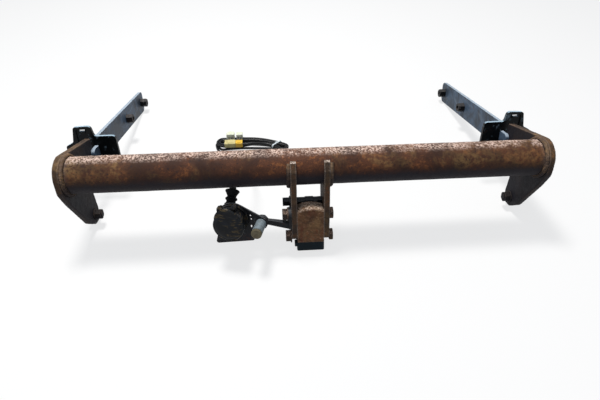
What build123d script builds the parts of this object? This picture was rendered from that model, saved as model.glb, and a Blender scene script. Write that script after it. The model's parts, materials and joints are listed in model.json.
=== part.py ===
from build123d import *
import math
import os

# A removable-neck towing bar as it lies on the ground: a round cross tube with an end plate at
# each end, two side arms that slide into the vehicle's chassis rails, a pressed flange on each
# arm, and in the middle two neck plates that hold the receiver of the removable neck. A
# thirteen-pin trailer socket sits on a plate that folds about a pivot beside the neck.
#
# Sizes are millimetres. The pieces are built in the bar's own frame, as it is fitted: X along
# the tube to the right, Y forward along the arms, Z up, origin on the tube's axis at the middle.
# They are then tipped together into the resting pose, with Z = 0 as the ground.

# Cross tube and end plates
TUBE_R = 38.05
TUBE_WALL = 5.0
BAR_HALF_WIDTH = 500.0
PLATE_T = 12.0
PLATE_IN = BAR_HALF_WIDTH - PLATE_T
NOSE_WALL = 8.5
END_BEAD = 9.0

# Side arms
ARM_T = 8.0
ARM_HEIGHT = 60.0
ARM_BOTTOM = -37.0
ARM_FRONT = 128.0
ARM_TAB_TOP = 3.0
ARM_TIP = 575.0
ARM_TIP_R = 17.0
ARM_BEAD = 6.0
ARM_IN = PLATE_IN - ARM_T
PLATE_REAR = 144.0
NUT_SPACING = 160.0
NUT_EDGE = 23.0
NUT_ACROSS = 22.0
NUT_LENGTH = 18.0
NUT_THREAD_R = 6.0
ARM_HOLE_R = 7.3

# Rail flanges
FLANGE_Y = 160.0
FLANGE_T = 8.0
FLANGE_IN = BAR_HALF_WIDTH - 65.0
FLANGE_OUT = BAR_HALF_WIDTH + 54.0
FLANGE_FOOT = -62.0
FLANGE_SHOULDER = 25.5
FLANGE_CREST = 50.0
FLANGE_HOLE_R = 6.5
FLANGE_HOLE_Z = -34.0
FLANGE_HOLE_EDGE = 22.0
FLANGE_POCKET = 3.0
FLANGE_SLIT = (13.0, 7.0)
FLANGE_GAP = 0.3

# Tongue bolt
TONGUE_BOLT_Y = 73.0
TONGUE_BOLT_Z = -132.0
M14_R = 7.0
M14_ACROSS = 22.0
M14_HEAD = 8.8
M14_NUT = 12.0
M14_WASHER_R = 14.0
BOLT_CLEARANCE = 0.5
WASHER_T = 2.5

# Neck plates and receiver
NECK_T = 12.0
NECK_GAP = 56.0
NECK_IN = NECK_GAP / 2
NECK_OUT = NECK_IN + NECK_T
NECK_LIP = 7.95
NECK_FRONT = -TUBE_R - NECK_LIP
NECK_REAR = 34.0
NECK_BOTTOM = -151.0
NECK_TOP = 25.0
NECK_BEAD = 10.0
HOUSING_REAR = 20.0
HOUSING_BOTTOM = -158.0
HOUSING_CROWN = -75.0
HOUSING_SHOULDER = -81.0
HOUSING_STEP_Y = -12.0
HOUSING_STEP_TOP = -96.0
M16_R = 8.0
M16_ACROSS = 24.0
M16_HEAD = 10.0
M16_NUT = 8.0
M16_WASHER_R = 15.0
M16_WASHER_T = 3.0
HOUSING_BOLT_Y = -33.0
HOUSING_BOLT_TOP_Z = -94.0
HOUSING_BOLT_LOW_Z = -147.0
BORE_Y = -3.0
SLEEVE_OUT_R = 17.0
SLEEVE_IN_R = 15.0
BORE_CEILING = -104.0
COLLAR_HALF_X = 25.0
COLLAR_FRONT = -41.0
COLLAR_REAR = 17.5
COLLAR_H = 14.0
PLUG_WALL = 4.2
PLUG_GAP = 0.3
PLUG_FLOOR = 8.6
PLUG_CORNER_R = 8.0
STAY_Y = 2.0
STAY_Z = -82.5
STAY_R = 6.0
STAY_SLEEVE_R = 9.0
STAY_ACROSS = 18.0
STAY_HEAD = 14.0
STAY_FLANGE_T = 3.0
STAY_NUT = 10.0

# Socket bracket and pivot, with the pivot's own frame: X to the right along the folding plate,
# Y along the pivot's axis away from the front, Z up
PIVOT = (-104.0, -48.0, -104.5)
PIVOT_YAW = -12.0
PIVOT_BOLT_R = 5.0
PIVOT_TUBE_R = 11.0
PIVOT_TUBE_L = 36.0
PIVOT_GAP = 0.3
PIVOT_HEAD = 6.0
PIVOT_WASHER_T = 1.6
EYE_R = 13.5
EYE_T = 8.0
PIVOT_NUT_ACROSS = 17.0
PIVOT_NUT = 8.0
SWING_PLATE_T = 4.0
LUG_T = 6.0
LUG_R = 16.0

# Trailer socket
SOCKET_X = -58.7
SOCKET_Z = 9.5
SOCKET_ROLL = 8.0
LID_R = 32.5
LID_FRONT = -41.0
LID_SKIRT = 14.0
LID_FACE_T = 3.5
LID_WALL = 2.5
BARREL_R = 29.5
BARREL_STEP = -26.5
NOSE_R = 24.5
NOSE_FRONT = -35.0
NOSE_BORE_R = 21.0
INSERT_R = 20.0
INSERT_FRONT = -16.0
SOCKET_FLANGE_R = 33.0
SOCKET_FLANGE_T = 6.0
GASKET_T = 2.0
REAR_BOSS_R = 16.8
SCREW_RING_R = 26.0
SCREW_R = 2.4
SCREW_HEAD_R = 4.4
HINGE_RISE = 36.8
HINGE_Y = -30.0
HINGE_PIN_R = 1.6
HINGE_KNUCKLE_R = 4.2
LUG_X = (12.1, 17.0)
KNUCKLE_X = (5.0, 11.8)
COVER_R = 19.5
COVER_REAR = 28.0
COVER_WALL = 2.5

# Boot on the socket's cable outlet
OUTLET_FOOT = (-13.0, 16.0, 3.0)
OUTLET_DIRECTION = (0.1, 0.707, 0.7)
OUTLET_R = 9.0
OUTLET_L = 22.0
BOOT_START = 14.0
BOOT_GAP = 0.05
BOOT_L = 50.0

# Wiring loom: the lead that lies free, the oval coil at its end, and the tie and connectors on it
LEAD_R = 3.5
LEAD_GAP = 0.5
LEAD_STRAIGHT = 18.0
COIL_CENTRE = (-134.0, 107.0)
COIL_HALF_RUN = 75.5
COIL_END_R = 24.0
COIL_GAP = 0.6
COIL_PITCH = 2 * LEAD_R + COIL_GAP
COIL_STEP_UP = 2 * LEAD_R + 0.5
TIE_T = 0.8
COIL_LIFT = TIE_T + 0.1
COIL_TAIL_X = 49.5
CLIMB_R = 200.0
TIE_WIDTH = 4.5
TIE_X = 66.0
CREAM_SIZE = (30.0, 20.0, 13.0)
YELLOW_SIZE = (19.0, 17.0, 13.0)
WHITE_SIZE = (23.0, 16.0, 18.0)
PALE_SIZE = (18.0, 14.0, 17.0)
CONNECTOR_GAP = 0.3
WIRE_REACH = 17.0
SEAT_GAP = 0.1
PIGTAIL_R = 1.1
LEAD_ROUTE = [
    (-143.0, -160.0, 150.0),
    (-136.0, -125.0, 147.0),
    (-131.0, -92.0, 121.0),
    (-131.0, -62.0, 73.0),
    (-136.0, -33.0, 27.0),
    (-147.0, 5.0, 6.0),
    (-170.0, 34.0, 4.4),
    (-205.0, 51.0, 4.4),
    (-233.5, 72.0, 4.4),
]


# Small shapes that many pieces use


def rounded(corners):
    """Face with the given corners, each (across, up, corner radius)."""
    points = [(u, v) for u, v, _ in corners]
    radii = [r for _, _, r in corners]
    return make_face(FilletPolyline(*points, radius=radii, close=True))


def slab_x(face, x_from, x_to):
    """Flat piece across X, with its outline in Y and Z."""
    return Pos(x_from, 0, 0) * extrude(Plane.YZ * face, amount=x_to - x_from, dir=(1, 0, 0))


def slab_y(face, y_from, y_to):
    """Flat piece across Y, with its outline in X and Z."""
    flat = Plane((0, 0, 0), x_dir=(1, 0, 0), z_dir=(0, -1, 0)) * face
    return Pos(0, y_from, 0) * extrude(flat, amount=y_to - y_from, dir=(0, 1, 0))


def rod_x(radius, x_from, x_to, y, z):
    """Round bar along X."""
    return Pos((x_from + x_to) / 2, y, z) * Rot(0, 90, 0) * Cylinder(radius, x_to - x_from)


def rod_y(radius, y_from, y_to, x, z):
    """Round bar along Y."""
    return Pos(x, (y_from + y_to) / 2, z) * Rot(90, 0, 0) * Cylinder(radius, y_to - y_from)


def rod_z(radius, z_from, z_to, x, y):
    """Round bar along Z."""
    return Pos(x, y, (z_from + z_to) / 2) * Cylinder(radius, z_to - z_from)


def block(x_from, x_to, y_from, y_to, z_from, z_to):
    """Rectangular block between two corners."""
    centre = Pos((x_from + x_to) / 2, (y_from + y_to) / 2, (z_from + z_to) / 2)
    return centre * Box(x_to - x_from, y_to - y_from, z_to - z_from)


def hex_z(across, height):
    """Hexagon bar standing on Z = 0, with both ends chamfered round the corners."""
    corner_r = across / math.sqrt(3)
    bar = extrude(RegularPolygon(corner_r, 6), amount=height)
    turned = Pos(0, 0, height / 2) * Cylinder(corner_r, height)
    turned = chamfer(turned.edges().filter_by(GeomType.CIRCLE), (corner_r - across / 2) * 0.8)
    return bar & turned


def hex_x(across, x_from, x_to, y, z):
    """Hexagon bar along X with a flat on top."""
    return Pos(x_from, y, z) * Rot(0, 90, 0) * hex_z(across, x_to - x_from)


def washer_x(outer_r, inner_r, x_from, x_to, y, z):
    """Flat ring across X."""
    return rod_x(outer_r, x_from, x_to, y, z) - rod_x(inner_r, x_from, x_to, y, z)


def link(u1, v1, r1, u2, v2, r2):
    """Outline round two circles and the straight tangents between them."""
    length = math.hypot(u2 - u1, v2 - v1)
    heading = math.atan2(v2 - v1, u2 - u1)
    spread = math.acos((r1 - r2) / length)
    corners = []
    for sign in (1, -1):
        angle = heading + sign * spread
        corners.append((u1 + r1 * math.cos(angle), v1 + r1 * math.sin(angle)))
        corners.append((u2 + r2 * math.cos(angle), v2 + r2 * math.sin(angle)))
    web = make_face(Polyline(corners[0], corners[1], corners[3], corners[2], close=True))
    return web + Pos(u1, v1) * Circle(r1) + Pos(u2, v2) * Circle(r2)


def mirrored(shape):
    """The same piece on the other side of the bar."""
    return mirror(shape, about=Plane.YZ)


# Cross tube, end plates, side arms and flanges


def cross_tube():
    """Round tube between the two end plates."""
    outside = rod_x(TUBE_R, -PLATE_IN, PLATE_IN, 0, 0)
    return outside - rod_x(TUBE_R - TUBE_WALL, -PLATE_IN, PLATE_IN, 0, 0)


def end_plate_right():
    """Plate across the tube's end: a nose round the tube, a wing to the arm, a tongue below."""
    nose = TUBE_R + NOSE_WALL
    face = rounded([
        (PLATE_REAR, 27, 6),
        (-nose, 49, nose - 4),
        (-nose + 3, -24, 30),
        (-22, -58, 25),
        (38, -137, 20),
        (66, -154, 3),
        (88, -153, 5),
        (97, -128, 6),
        (91, -88, 14),
        (104, -52, 14),
        (PLATE_REAR, ARM_BOTTOM, 6),
    ])
    plate = slab_x(face, PLATE_IN, BAR_HALF_WIDTH)
    hole_r = M14_R + BOLT_CLEARANCE
    return plate - rod_x(hole_r, PLATE_IN - 1, BAR_HALF_WIDTH + 1, TONGUE_BOLT_Y, TONGUE_BOLT_Z)


def tube_end_weld():
    """Fillet weld round the right end of the tube."""
    corner = (PLATE_IN, TUBE_R)
    toe = (PLATE_IN - END_BEAD, TUBE_R)
    top = (PLATE_IN, TUBE_R + END_BEAD * 0.75)
    crown = (PLATE_IN - END_BEAD * 0.55, TUBE_R + END_BEAD * 0.5)
    profile = Line(corner, toe) + ThreePointArc(toe, crown, top) + Line(top, corner)
    return revolve(make_face(profile), Axis.X, 360)


def side_arm_right():
    """Flat arm behind the flange, whose lower tab goes through it to the end plate's inner face."""
    top = ARM_BOTTOM + ARM_HEIGHT
    flange_rear = FLANGE_Y + FLANGE_T
    face = rounded([
        (ARM_FRONT, ARM_BOTTOM, 12),
        (ARM_TIP, ARM_BOTTOM, ARM_TIP_R),
        (ARM_TIP, top, 14),
        (flange_rear, top, 1),
        (flange_rear, ARM_TAB_TOP, 0.2),
        (ARM_FRONT, ARM_TAB_TOP, 10),
    ])
    arm = slab_x(face, ARM_IN, PLATE_IN)
    for y in nut_places():
        arm -= rod_x(ARM_HOLE_R, ARM_IN - 1, PLATE_IN + 1, y, nut_height())
    return arm


def nut_places():
    """Y of the two weld nuts on an arm."""
    return (ARM_TIP - NUT_EDGE - NUT_SPACING, ARM_TIP - NUT_EDGE)


def nut_height():
    """Z of the weld nuts, on the arm's middle line."""
    return ARM_BOTTOM + ARM_HEIGHT / 2


def arm_weld_nuts_right():
    """Tall hexagon nuts welded to the arm's inner face."""
    nuts = []
    for y in nut_places():
        nut = hex_x(NUT_ACROSS, ARM_IN - NUT_LENGTH, ARM_IN, y, nut_height())
        nuts.append(nut - rod_x(NUT_THREAD_R, ARM_IN - NUT_LENGTH - 1, ARM_IN + 1, y, nut_height()))
    return nuts


def bead_z(corner_x, corner_y, leg_x, leg_y, z_from, z_to):
    """Straight fillet weld along Z in the corner of two plates, with a slightly full face."""
    corner = (corner_x, corner_y)
    along = (corner_x + leg_x, corner_y)
    up = (corner_x, corner_y + leg_y)
    crown = (corner_x + leg_x * 0.58, corner_y + leg_y * 0.58)
    profile = Line(corner, along) + ThreePointArc(along, crown, up) + Line(up, corner)
    return Pos(0, 0, z_from) * extrude(make_face(profile), amount=z_to - z_from)


def arm_welds_right():
    """Weld of the arm's tab to the end plate's rear edge and of the flange to both of the arm's faces."""
    low = ARM_BOTTOM + 4
    high = ARM_BOTTOM + ARM_HEIGHT - 6
    flange_rear = FLANGE_Y + FLANGE_T
    return [
        bead_z(PLATE_IN, PLATE_REAR, ARM_BEAD, ARM_BEAD, low + 4, ARM_TAB_TOP - 4),
        bead_z(ARM_IN, flange_rear, -ARM_BEAD, ARM_BEAD, low, high),
        bead_z(PLATE_IN, flange_rear, ARM_BEAD, ARM_BEAD, low, high),
    ]


def rail_flange_right():
    """Pressed plate across the front of the arm that bolts to the vehicle's rear panel."""
    crest_in = PLATE_IN + 2
    crest_out = FLANGE_OUT - 25
    face = rounded([
        (FLANGE_IN, FLANGE_FOOT, 10),
        (FLANGE_IN + 2.5, FLANGE_SHOULDER, 9),
        (PLATE_IN - 2.5, FLANGE_SHOULDER, 7),
        (crest_in, FLANGE_CREST, 9),
        (crest_out, FLANGE_CREST - 1.5, 7),
        (crest_out + 7, 12, 7),
        (FLANGE_OUT, 3, 6),
        (FLANGE_OUT, FLANGE_FOOT, 10),
    ])
    y_back = FLANGE_Y + FLANGE_T
    flange = slab_y(face, FLANGE_Y, y_back)
    pocket = rounded([
        (crest_in + 7, -12, 4),
        (crest_out - 5, -12, 4),
        (crest_out - 5, FLANGE_CREST - 7, 5),
        (crest_in + 7, FLANGE_CREST - 7, 5),
    ])
    flange -= slab_y(pocket, FLANGE_Y - 1, FLANGE_Y + FLANGE_POCKET)
    slit_x = crest_in + 14
    slit_top = FLANGE_CREST - 9
    slit_length, slit_height = FLANGE_SLIT
    flange -= block(slit_x, slit_x + slit_length, FLANGE_Y - 1, y_back + 1, slit_top - slit_height, slit_top)
    flange -= block(
        ARM_IN - FLANGE_GAP, PLATE_IN + FLANGE_GAP, FLANGE_Y - 1, y_back + 1,
        ARM_BOTTOM - FLANGE_GAP, ARM_TAB_TOP + FLANGE_GAP,
    )
    for x in flange_hole_places():
        flange -= rod_y(FLANGE_HOLE_R, FLANGE_Y - 1, y_back + 1, x, FLANGE_HOLE_Z)
    return flange


def flange_hole_places():
    """X of the two fixing holes in the right flange."""
    return (FLANGE_IN + FLANGE_HOLE_EDGE, FLANGE_OUT - FLANGE_HOLE_EDGE)


def tongue_bolt_right():
    """Bolt through the tongue, its head on the outside."""
    inner_end = PLATE_IN - WASHER_T - M14_NUT - 2
    shank = rod_x(M14_R, inner_end, BAR_HALF_WIDTH, TONGUE_BOLT_Y, TONGUE_BOLT_Z)
    head_end = BAR_HALF_WIDTH + M14_HEAD
    return shank + hex_x(M14_ACROSS, BAR_HALF_WIDTH, head_end, TONGUE_BOLT_Y, TONGUE_BOLT_Z)


def tongue_washer_right():
    """Washer on the tongue's inner face."""
    x_from = PLATE_IN - WASHER_T
    return washer_x(M14_WASHER_R, M14_R + 0.4, x_from, PLATE_IN, TONGUE_BOLT_Y, TONGUE_BOLT_Z)


def tongue_nut_right():
    """Nut on the tongue bolt."""
    x_to = PLATE_IN - WASHER_T
    nut = hex_x(M14_ACROSS, x_to - M14_NUT, x_to, TONGUE_BOLT_Y, TONGUE_BOLT_Z)
    return nut - rod_x(M14_R, x_to - M14_NUT - 1, x_to + 1, TONGUE_BOLT_Y, TONGUE_BOLT_Z)


# Neck plates and receiver


def neck_plate_right():
    """Plate that hooks round the front and underside of the tube and hangs down behind it."""
    face = rounded([
        (-38, NECK_TOP, 2),
        (-14, NECK_TOP, 1),
        (0, 0, 1),
        (TUBE_R + NECK_LIP, -16, 3),
        (NECK_REAR + 4, -TUBE_R - 13.95, 12),
        (NECK_REAR, NECK_BOTTOM, 12),
        (NECK_FRONT, NECK_BOTTOM, 8),
        (NECK_FRONT, 6, 8),
    ])
    plate = slab_x(face, NECK_IN, NECK_OUT)
    plate -= rod_x(TUBE_R, NECK_IN - 1, NECK_OUT + 1, 0, 0)
    for z in (HOUSING_BOLT_TOP_Z, HOUSING_BOLT_LOW_Z):
        plate -= rod_x(M16_R + BOLT_CLEARANCE, NECK_IN - 1, NECK_OUT + 1, HOUSING_BOLT_Y, z)
    return plate - rod_x(STAY_R + BOLT_CLEARANCE, NECK_IN - 1, NECK_OUT + 1, STAY_Y, STAY_Z)


def neck_weld_right():
    """Fillet weld between the right neck plate's outer face and the tube's front and underside."""
    corner = (NECK_OUT, TUBE_R)
    toe = (NECK_OUT + NECK_BEAD, TUBE_R)
    top = (NECK_OUT, TUBE_R + NECK_BEAD * 0.6)
    crown = (NECK_OUT + NECK_BEAD * 0.6, TUBE_R + NECK_BEAD * 0.42)
    profile = Line(corner, toe) + ThreePointArc(toe, crown, top) + Line(top, corner)
    bead = revolve(make_face(profile), Axis.X, 165)
    return Rot(160, 0, 0) * bead


def receiver_housing():
    """Cast block between the neck plates, with the receiver's bore opening downwards."""
    arch = (
        Line((-NECK_IN, HOUSING_SHOULDER), (-NECK_IN, HOUSING_BOTTOM))
        + Line((-NECK_IN, HOUSING_BOTTOM), (NECK_IN, HOUSING_BOTTOM))
        + Line((NECK_IN, HOUSING_BOTTOM), (NECK_IN, HOUSING_SHOULDER))
        + ThreePointArc(
            (NECK_IN, HOUSING_SHOULDER), (0, HOUSING_CROWN), (-NECK_IN, HOUSING_SHOULDER)
        )
    )
    front = slab_y(make_face(arch), NECK_FRONT, HOUSING_STEP_Y)
    crown_edges = front.edges().filter_by(GeomType.CIRCLE)
    front = fillet(crown_edges, 5)
    rear = block(-NECK_IN, NECK_IN, HOUSING_STEP_Y, HOUSING_REAR, HOUSING_BOTTOM, HOUSING_STEP_TOP)
    rear = fillet(rear.edges().filter_by(Axis.X).sort_by(Axis.Y)[-2:], 5)
    collar = block(
        -COLLAR_HALF_X, COLLAR_HALF_X, COLLAR_FRONT, COLLAR_REAR,
        HOUSING_BOTTOM - COLLAR_H, HOUSING_BOTTOM,
    )
    collar = fillet(collar.edges().filter_by(Axis.Z), 6)
    body = front + rear + collar
    body -= rod_z(SLEEVE_OUT_R, HOUSING_BOTTOM - COLLAR_H - 1, BORE_CEILING, 0, BORE_Y)
    for z in (HOUSING_BOLT_TOP_Z, HOUSING_BOLT_LOW_Z):
        body -= rod_x(M16_R + BOLT_CLEARANCE, -NECK_IN - 1, NECK_IN + 1, HOUSING_BOLT_Y, z)
    return body


def receiver_sleeve():
    """Hardened liner that guides the removable neck's shank."""
    low = HOUSING_BOTTOM - COLLAR_H
    ring = rod_z(SLEEVE_OUT_R, low, BORE_CEILING, 0, BORE_Y)
    bore = rod_z(SLEEVE_IN_R, low - 1, BORE_CEILING + 1, 0, BORE_Y)
    mouth = Pos(0, BORE_Y, low + 1.0) * Cone(SLEEVE_IN_R + 1.5, SLEEVE_IN_R, 2.0)
    return ring - bore - mouth


def receiver_plug():
    """Moulded cap that grips the collar round the receiver's mouth."""
    grip = PLUG_WALL + PLUG_GAP
    floor = HOUSING_BOTTOM - COLLAR_H - PLUG_GAP
    side = rounded([
        (COLLAR_FRONT - grip, HOUSING_BOTTOM - PLUG_GAP, 1),
        (COLLAR_REAR + grip, HOUSING_BOTTOM - PLUG_GAP, 1),
        (COLLAR_REAR + grip, floor - PLUG_FLOOR, PLUG_CORNER_R),
        (COLLAR_FRONT - grip, floor - PLUG_FLOOR, 4),
    ])
    half_x = COLLAR_HALF_X + grip
    cap = slab_x(side, -half_x, half_x)
    plan = rounded([
        (-half_x, COLLAR_FRONT - grip, 8),
        (half_x, COLLAR_FRONT - grip, 8),
        (half_x, COLLAR_REAR + grip, 8),
        (-half_x, COLLAR_REAR + grip, 8),
    ])
    cap &= Pos(0, 0, floor - PLUG_FLOOR - 1) * extrude(plan, amount=COLLAR_H + PLUG_FLOOR + 4)
    hollow = block(
        -COLLAR_HALF_X - PLUG_GAP, COLLAR_HALF_X + PLUG_GAP,
        COLLAR_FRONT - PLUG_GAP, COLLAR_REAR + PLUG_GAP, floor, HOUSING_BOTTOM,
    )
    hollow = fillet(hollow.edges().filter_by(Axis.Z), 6)
    tab = block(-half_x - 5, -half_x + 3, COLLAR_FRONT - 2, COLLAR_FRONT + 12, floor + 3, floor + 12)
    tab = fillet(tab.edges().filter_by(Axis.Z), 2)
    return (cap + tab) - hollow


def plug_lowest_arc():
    """Centre and radius, in Y and Z, of the plug's rear lower corner, on which the bar rests."""
    y = COLLAR_REAR + PLUG_GAP + PLUG_WALL - PLUG_CORNER_R
    z = HOUSING_BOTTOM - COLLAR_H - PLUG_GAP - PLUG_FLOOR + PLUG_CORNER_R
    return y, z, PLUG_CORNER_R


def housing_bolt(z, head_from):
    """Bolt along X through both neck plates and the housing."""
    shank = rod_x(M16_R, head_from, NECK_OUT + M16_NUT, HOUSING_BOLT_Y, z)
    return shank + hex_x(M16_ACROSS, head_from - M16_HEAD, head_from, HOUSING_BOLT_Y, z)


def housing_bolt_heads():
    """X of the bearing face of the upper and of the lower bolt head."""
    return {
        HOUSING_BOLT_TOP_Z: -NECK_OUT - LUG_T - M16_WASHER_T,
        HOUSING_BOLT_LOW_Z: -NECK_OUT - M16_WASHER_T,
    }


def housing_bolts():
    """The two cross bolts of the receiver."""
    return [housing_bolt(z, x) for z, x in housing_bolt_heads().items()]


def housing_washers():
    """Washers under the heads of the cross bolts."""
    hole_r = M16_R + 0.4
    rings = []
    for z, x in housing_bolt_heads().items():
        rings.append(washer_x(M16_WASHER_R, hole_r, x, x + M16_WASHER_T, HOUSING_BOLT_Y, z))
    return rings


def housing_nuts():
    """Thin nuts of the cross bolts, on the right."""
    nuts = []
    for z in housing_bolt_heads():
        nut = hex_x(M16_ACROSS, NECK_OUT, NECK_OUT + M16_NUT, HOUSING_BOLT_Y, z)
        nuts.append(nut - rod_x(M16_R, NECK_OUT - 1, NECK_OUT + M16_NUT + 1, HOUSING_BOLT_Y, z))
    return nuts


def stay_bolt():
    """Flanged bolt that clamps the neck plates on the stay tube."""
    face = -NECK_OUT - STAY_FLANGE_T
    flange = rod_x(STAY_ACROSS * 0.7, face, -NECK_OUT, STAY_Y, STAY_Z)
    hexagon = hex_x(STAY_ACROSS, face - STAY_HEAD, face, STAY_Y, STAY_Z)
    return rod_x(STAY_R, -NECK_OUT, NECK_OUT, STAY_Y, STAY_Z) + flange + hexagon


def stay_tube():
    """Spacer from the left neck plate to the stay nut, with a hexagon in its middle."""
    tube = rod_x(STAY_SLEEVE_R, -NECK_IN, NECK_IN - STAY_NUT, STAY_Y, STAY_Z)
    tube += hex_x(STAY_SLEEVE_R * 2 + 2, -9, 9, STAY_Y, STAY_Z)
    return tube - rod_x(STAY_R + 0.4, -NECK_IN - 1, NECK_IN + 1, STAY_Y, STAY_Z)


def stay_nut():
    """Nut of the stay bolt, against the right neck plate's inner face."""
    nut = hex_x(STAY_ACROSS, NECK_IN - STAY_NUT, NECK_IN, STAY_Y, STAY_Z)
    return nut - rod_x(STAY_R, NECK_IN - STAY_NUT - 1, NECK_IN + 1, STAY_Y, STAY_Z)


# Socket bracket, pivot and folding plate. Pieces built in the pivot's frame are placed by at_pivot.


def pivot_location():
    """Place of the pivot's frame in the bar's frame."""
    return Location(PIVOT, (0, 0, PIVOT_YAW))


def at_pivot(shape):
    """Move a piece from the pivot's frame to the bar's frame."""
    return pivot_location() * shape


def in_bar(x, y, z):
    """Point of the pivot's frame, in the bar's frame."""
    return (pivot_location() * Location((x, y, z))).position


def eye_span():
    """Y of both faces of the bracket's eye, in the pivot's frame."""
    front = SWING_PLATE_T + 2 * PIVOT_GAP + PIVOT_WASHER_T
    return front, front + EYE_T


def socket_bracket():
    """Lug under the upper cross bolt, with a tapered bar out to the pivot's eye."""
    lug_face = link(
        HOUSING_BOLT_Y, HOUSING_BOLT_TOP_Z, LUG_R, HOUSING_BOLT_Y - 3, HOUSING_BOLT_TOP_Z - 24, 10
    )
    lug = slab_x(lug_face, -NECK_OUT - LUG_T, -NECK_OUT)
    eye_front, eye_back = eye_span()
    eye = at_pivot(rod_y(EYE_R, eye_front, eye_back, 0, 0))
    middle = in_bar(0, (eye_front + eye_back) / 2, 0)
    foot = (-NECK_OUT - LUG_T + 1, HOUSING_BOLT_Y - 3, HOUSING_BOLT_TOP_Z - 24)
    near = Plane(foot, x_dir=(0, 1, 0), z_dir=(-1, 0, 0))
    along = in_bar(-1, 0, 0) - in_bar(0, 0, 0)
    far = Plane(middle - along * 10, x_dir=in_bar(0, 1, 0) - in_bar(0, 0, 0), z_dir=along)
    bar = loft([near * Rectangle(14, 13), far * Rectangle(EYE_T - 0.5, 11)])
    body = lug + bar + eye
    hole_r = M16_R + BOLT_CLEARANCE
    body -= rod_x(hole_r, foot[0] - 2, -NECK_OUT + 1, HOUSING_BOLT_Y, HOUSING_BOLT_TOP_Z)
    return body - at_pivot(rod_y(PIVOT_BOLT_R + 0.05, eye_front - 1, eye_back + 1, 0, 0))


def pivot_bolt():
    """Bolt with a broad round head, on which the folding plate turns."""
    head_back = -PIVOT_TUBE_L - PIVOT_GAP - PIVOT_WASHER_T
    head = rod_y(PIVOT_TUBE_R, head_back - PIVOT_HEAD, head_back, 0, 0)
    head = fillet(head.edges().filter_by(GeomType.CIRCLE).sort_by(Axis.Y)[0], 2)
    end = eye_span()[1] + PIVOT_NUT + 2
    return at_pivot(head + rod_y(PIVOT_BOLT_R, head_back, end, 0, 0))


def pivot_washers():
    """Washers before the pivot tube and between the folding plate and the eye."""
    rings = []
    front = -PIVOT_TUBE_L - PIVOT_GAP - PIVOT_WASHER_T
    behind = SWING_PLATE_T + PIVOT_GAP
    for y in (front, behind):
        ring = rod_y(PIVOT_TUBE_R - 0.5, y, y + PIVOT_WASHER_T, 0, 0)
        rings.append(at_pivot(ring - rod_y(PIVOT_BOLT_R + 0.2, y - 1, y + PIVOT_WASHER_T + 1, 0, 0)))
    return rings


def pivot_nut():
    """Locking nut behind the eye."""
    start = eye_span()[1]
    nut = Pos(0, start, 0) * Rot(-90, 0, 0) * hex_z(PIVOT_NUT_ACROSS, PIVOT_NUT)
    return at_pivot(nut - rod_y(PIVOT_BOLT_R, start - 1, start + PIVOT_NUT + 1, 0, 0))


def pivot_tube():
    """Tube welded to the folding plate, which turns on the pivot bolt."""
    tube = rod_y(PIVOT_TUBE_R, -PIVOT_TUBE_L, 0, 0, 0)
    return at_pivot(tube - rod_y(PIVOT_BOLT_R + PIVOT_GAP, -PIVOT_TUBE_L - 1, 1, 0, 0))


def swing_plate():
    """Folding plate: a lobe round the pivot, a round field for the socket and a straight foot."""
    lobe = link(0, 0, EYE_R + 0.5, SOCKET_X, SOCKET_Z, SOCKET_FLANGE_R + 1)
    foot = rounded([
        (-17, -43, 5),
        (-7, -6, 4),
        (SOCKET_X - 24, 20, 12),
        (-97, -36, 8),
        (-103, -57, 5),
    ])
    plate = slab_y(lobe + foot, 0, SWING_PLATE_T)
    plate -= rod_y(PIVOT_BOLT_R + PIVOT_GAP, -1, SWING_PLATE_T + 1, 0, 0)
    plate -= rod_y(REAR_BOSS_R + 0.2, -1, SWING_PLATE_T + 1, SOCKET_X, SOCKET_Z)
    for x, z in screw_places():
        plate -= rod_y(SCREW_R + 0.3, -1, SWING_PLATE_T + 1, x, z)
    for x, z in ((-22, 17), (-20.5, 8.5)):
        plate -= rod_y(2.1, -1, SWING_PLATE_T + 1, x, z)
    plate -= block(-23, -19.5, -1, SWING_PLATE_T + 1, -12.5, -5.5)
    return at_pivot(plate)


def screw_places():
    """X and Z of the socket's three fixing screws, in the pivot's frame."""
    places = []
    for angle in (90, 210, 330):
        turn = math.radians(angle + SOCKET_ROLL)
        places.append((SOCKET_X + SCREW_RING_R * math.cos(turn), SOCKET_Z + SCREW_RING_R * math.sin(turn)))
    return places


# Trailer socket, built upright about its own axis along Y and then rolled into place


def at_socket(shape):
    """Move a piece from the socket's own frame to the bar's frame."""
    return pivot_location() * Location((SOCKET_X, 0, SOCKET_Z), (0, -SOCKET_ROLL, 0)) * shape


def disc(radius, y_from, y_to):
    """Round piece on the socket's axis."""
    return rod_y(radius, y_from, y_to, 0, 0)


def socket_flange_back():
    """Y of the rear face of the socket's flange."""
    return -GASKET_T


def own_screw_places():
    """X and Z of the fixing screws in the socket's own frame."""
    turns = [math.radians(angle) for angle in (90, 210, 330)]
    return [(SCREW_RING_R * math.cos(t), SCREW_RING_R * math.sin(t)) for t in turns]


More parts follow.
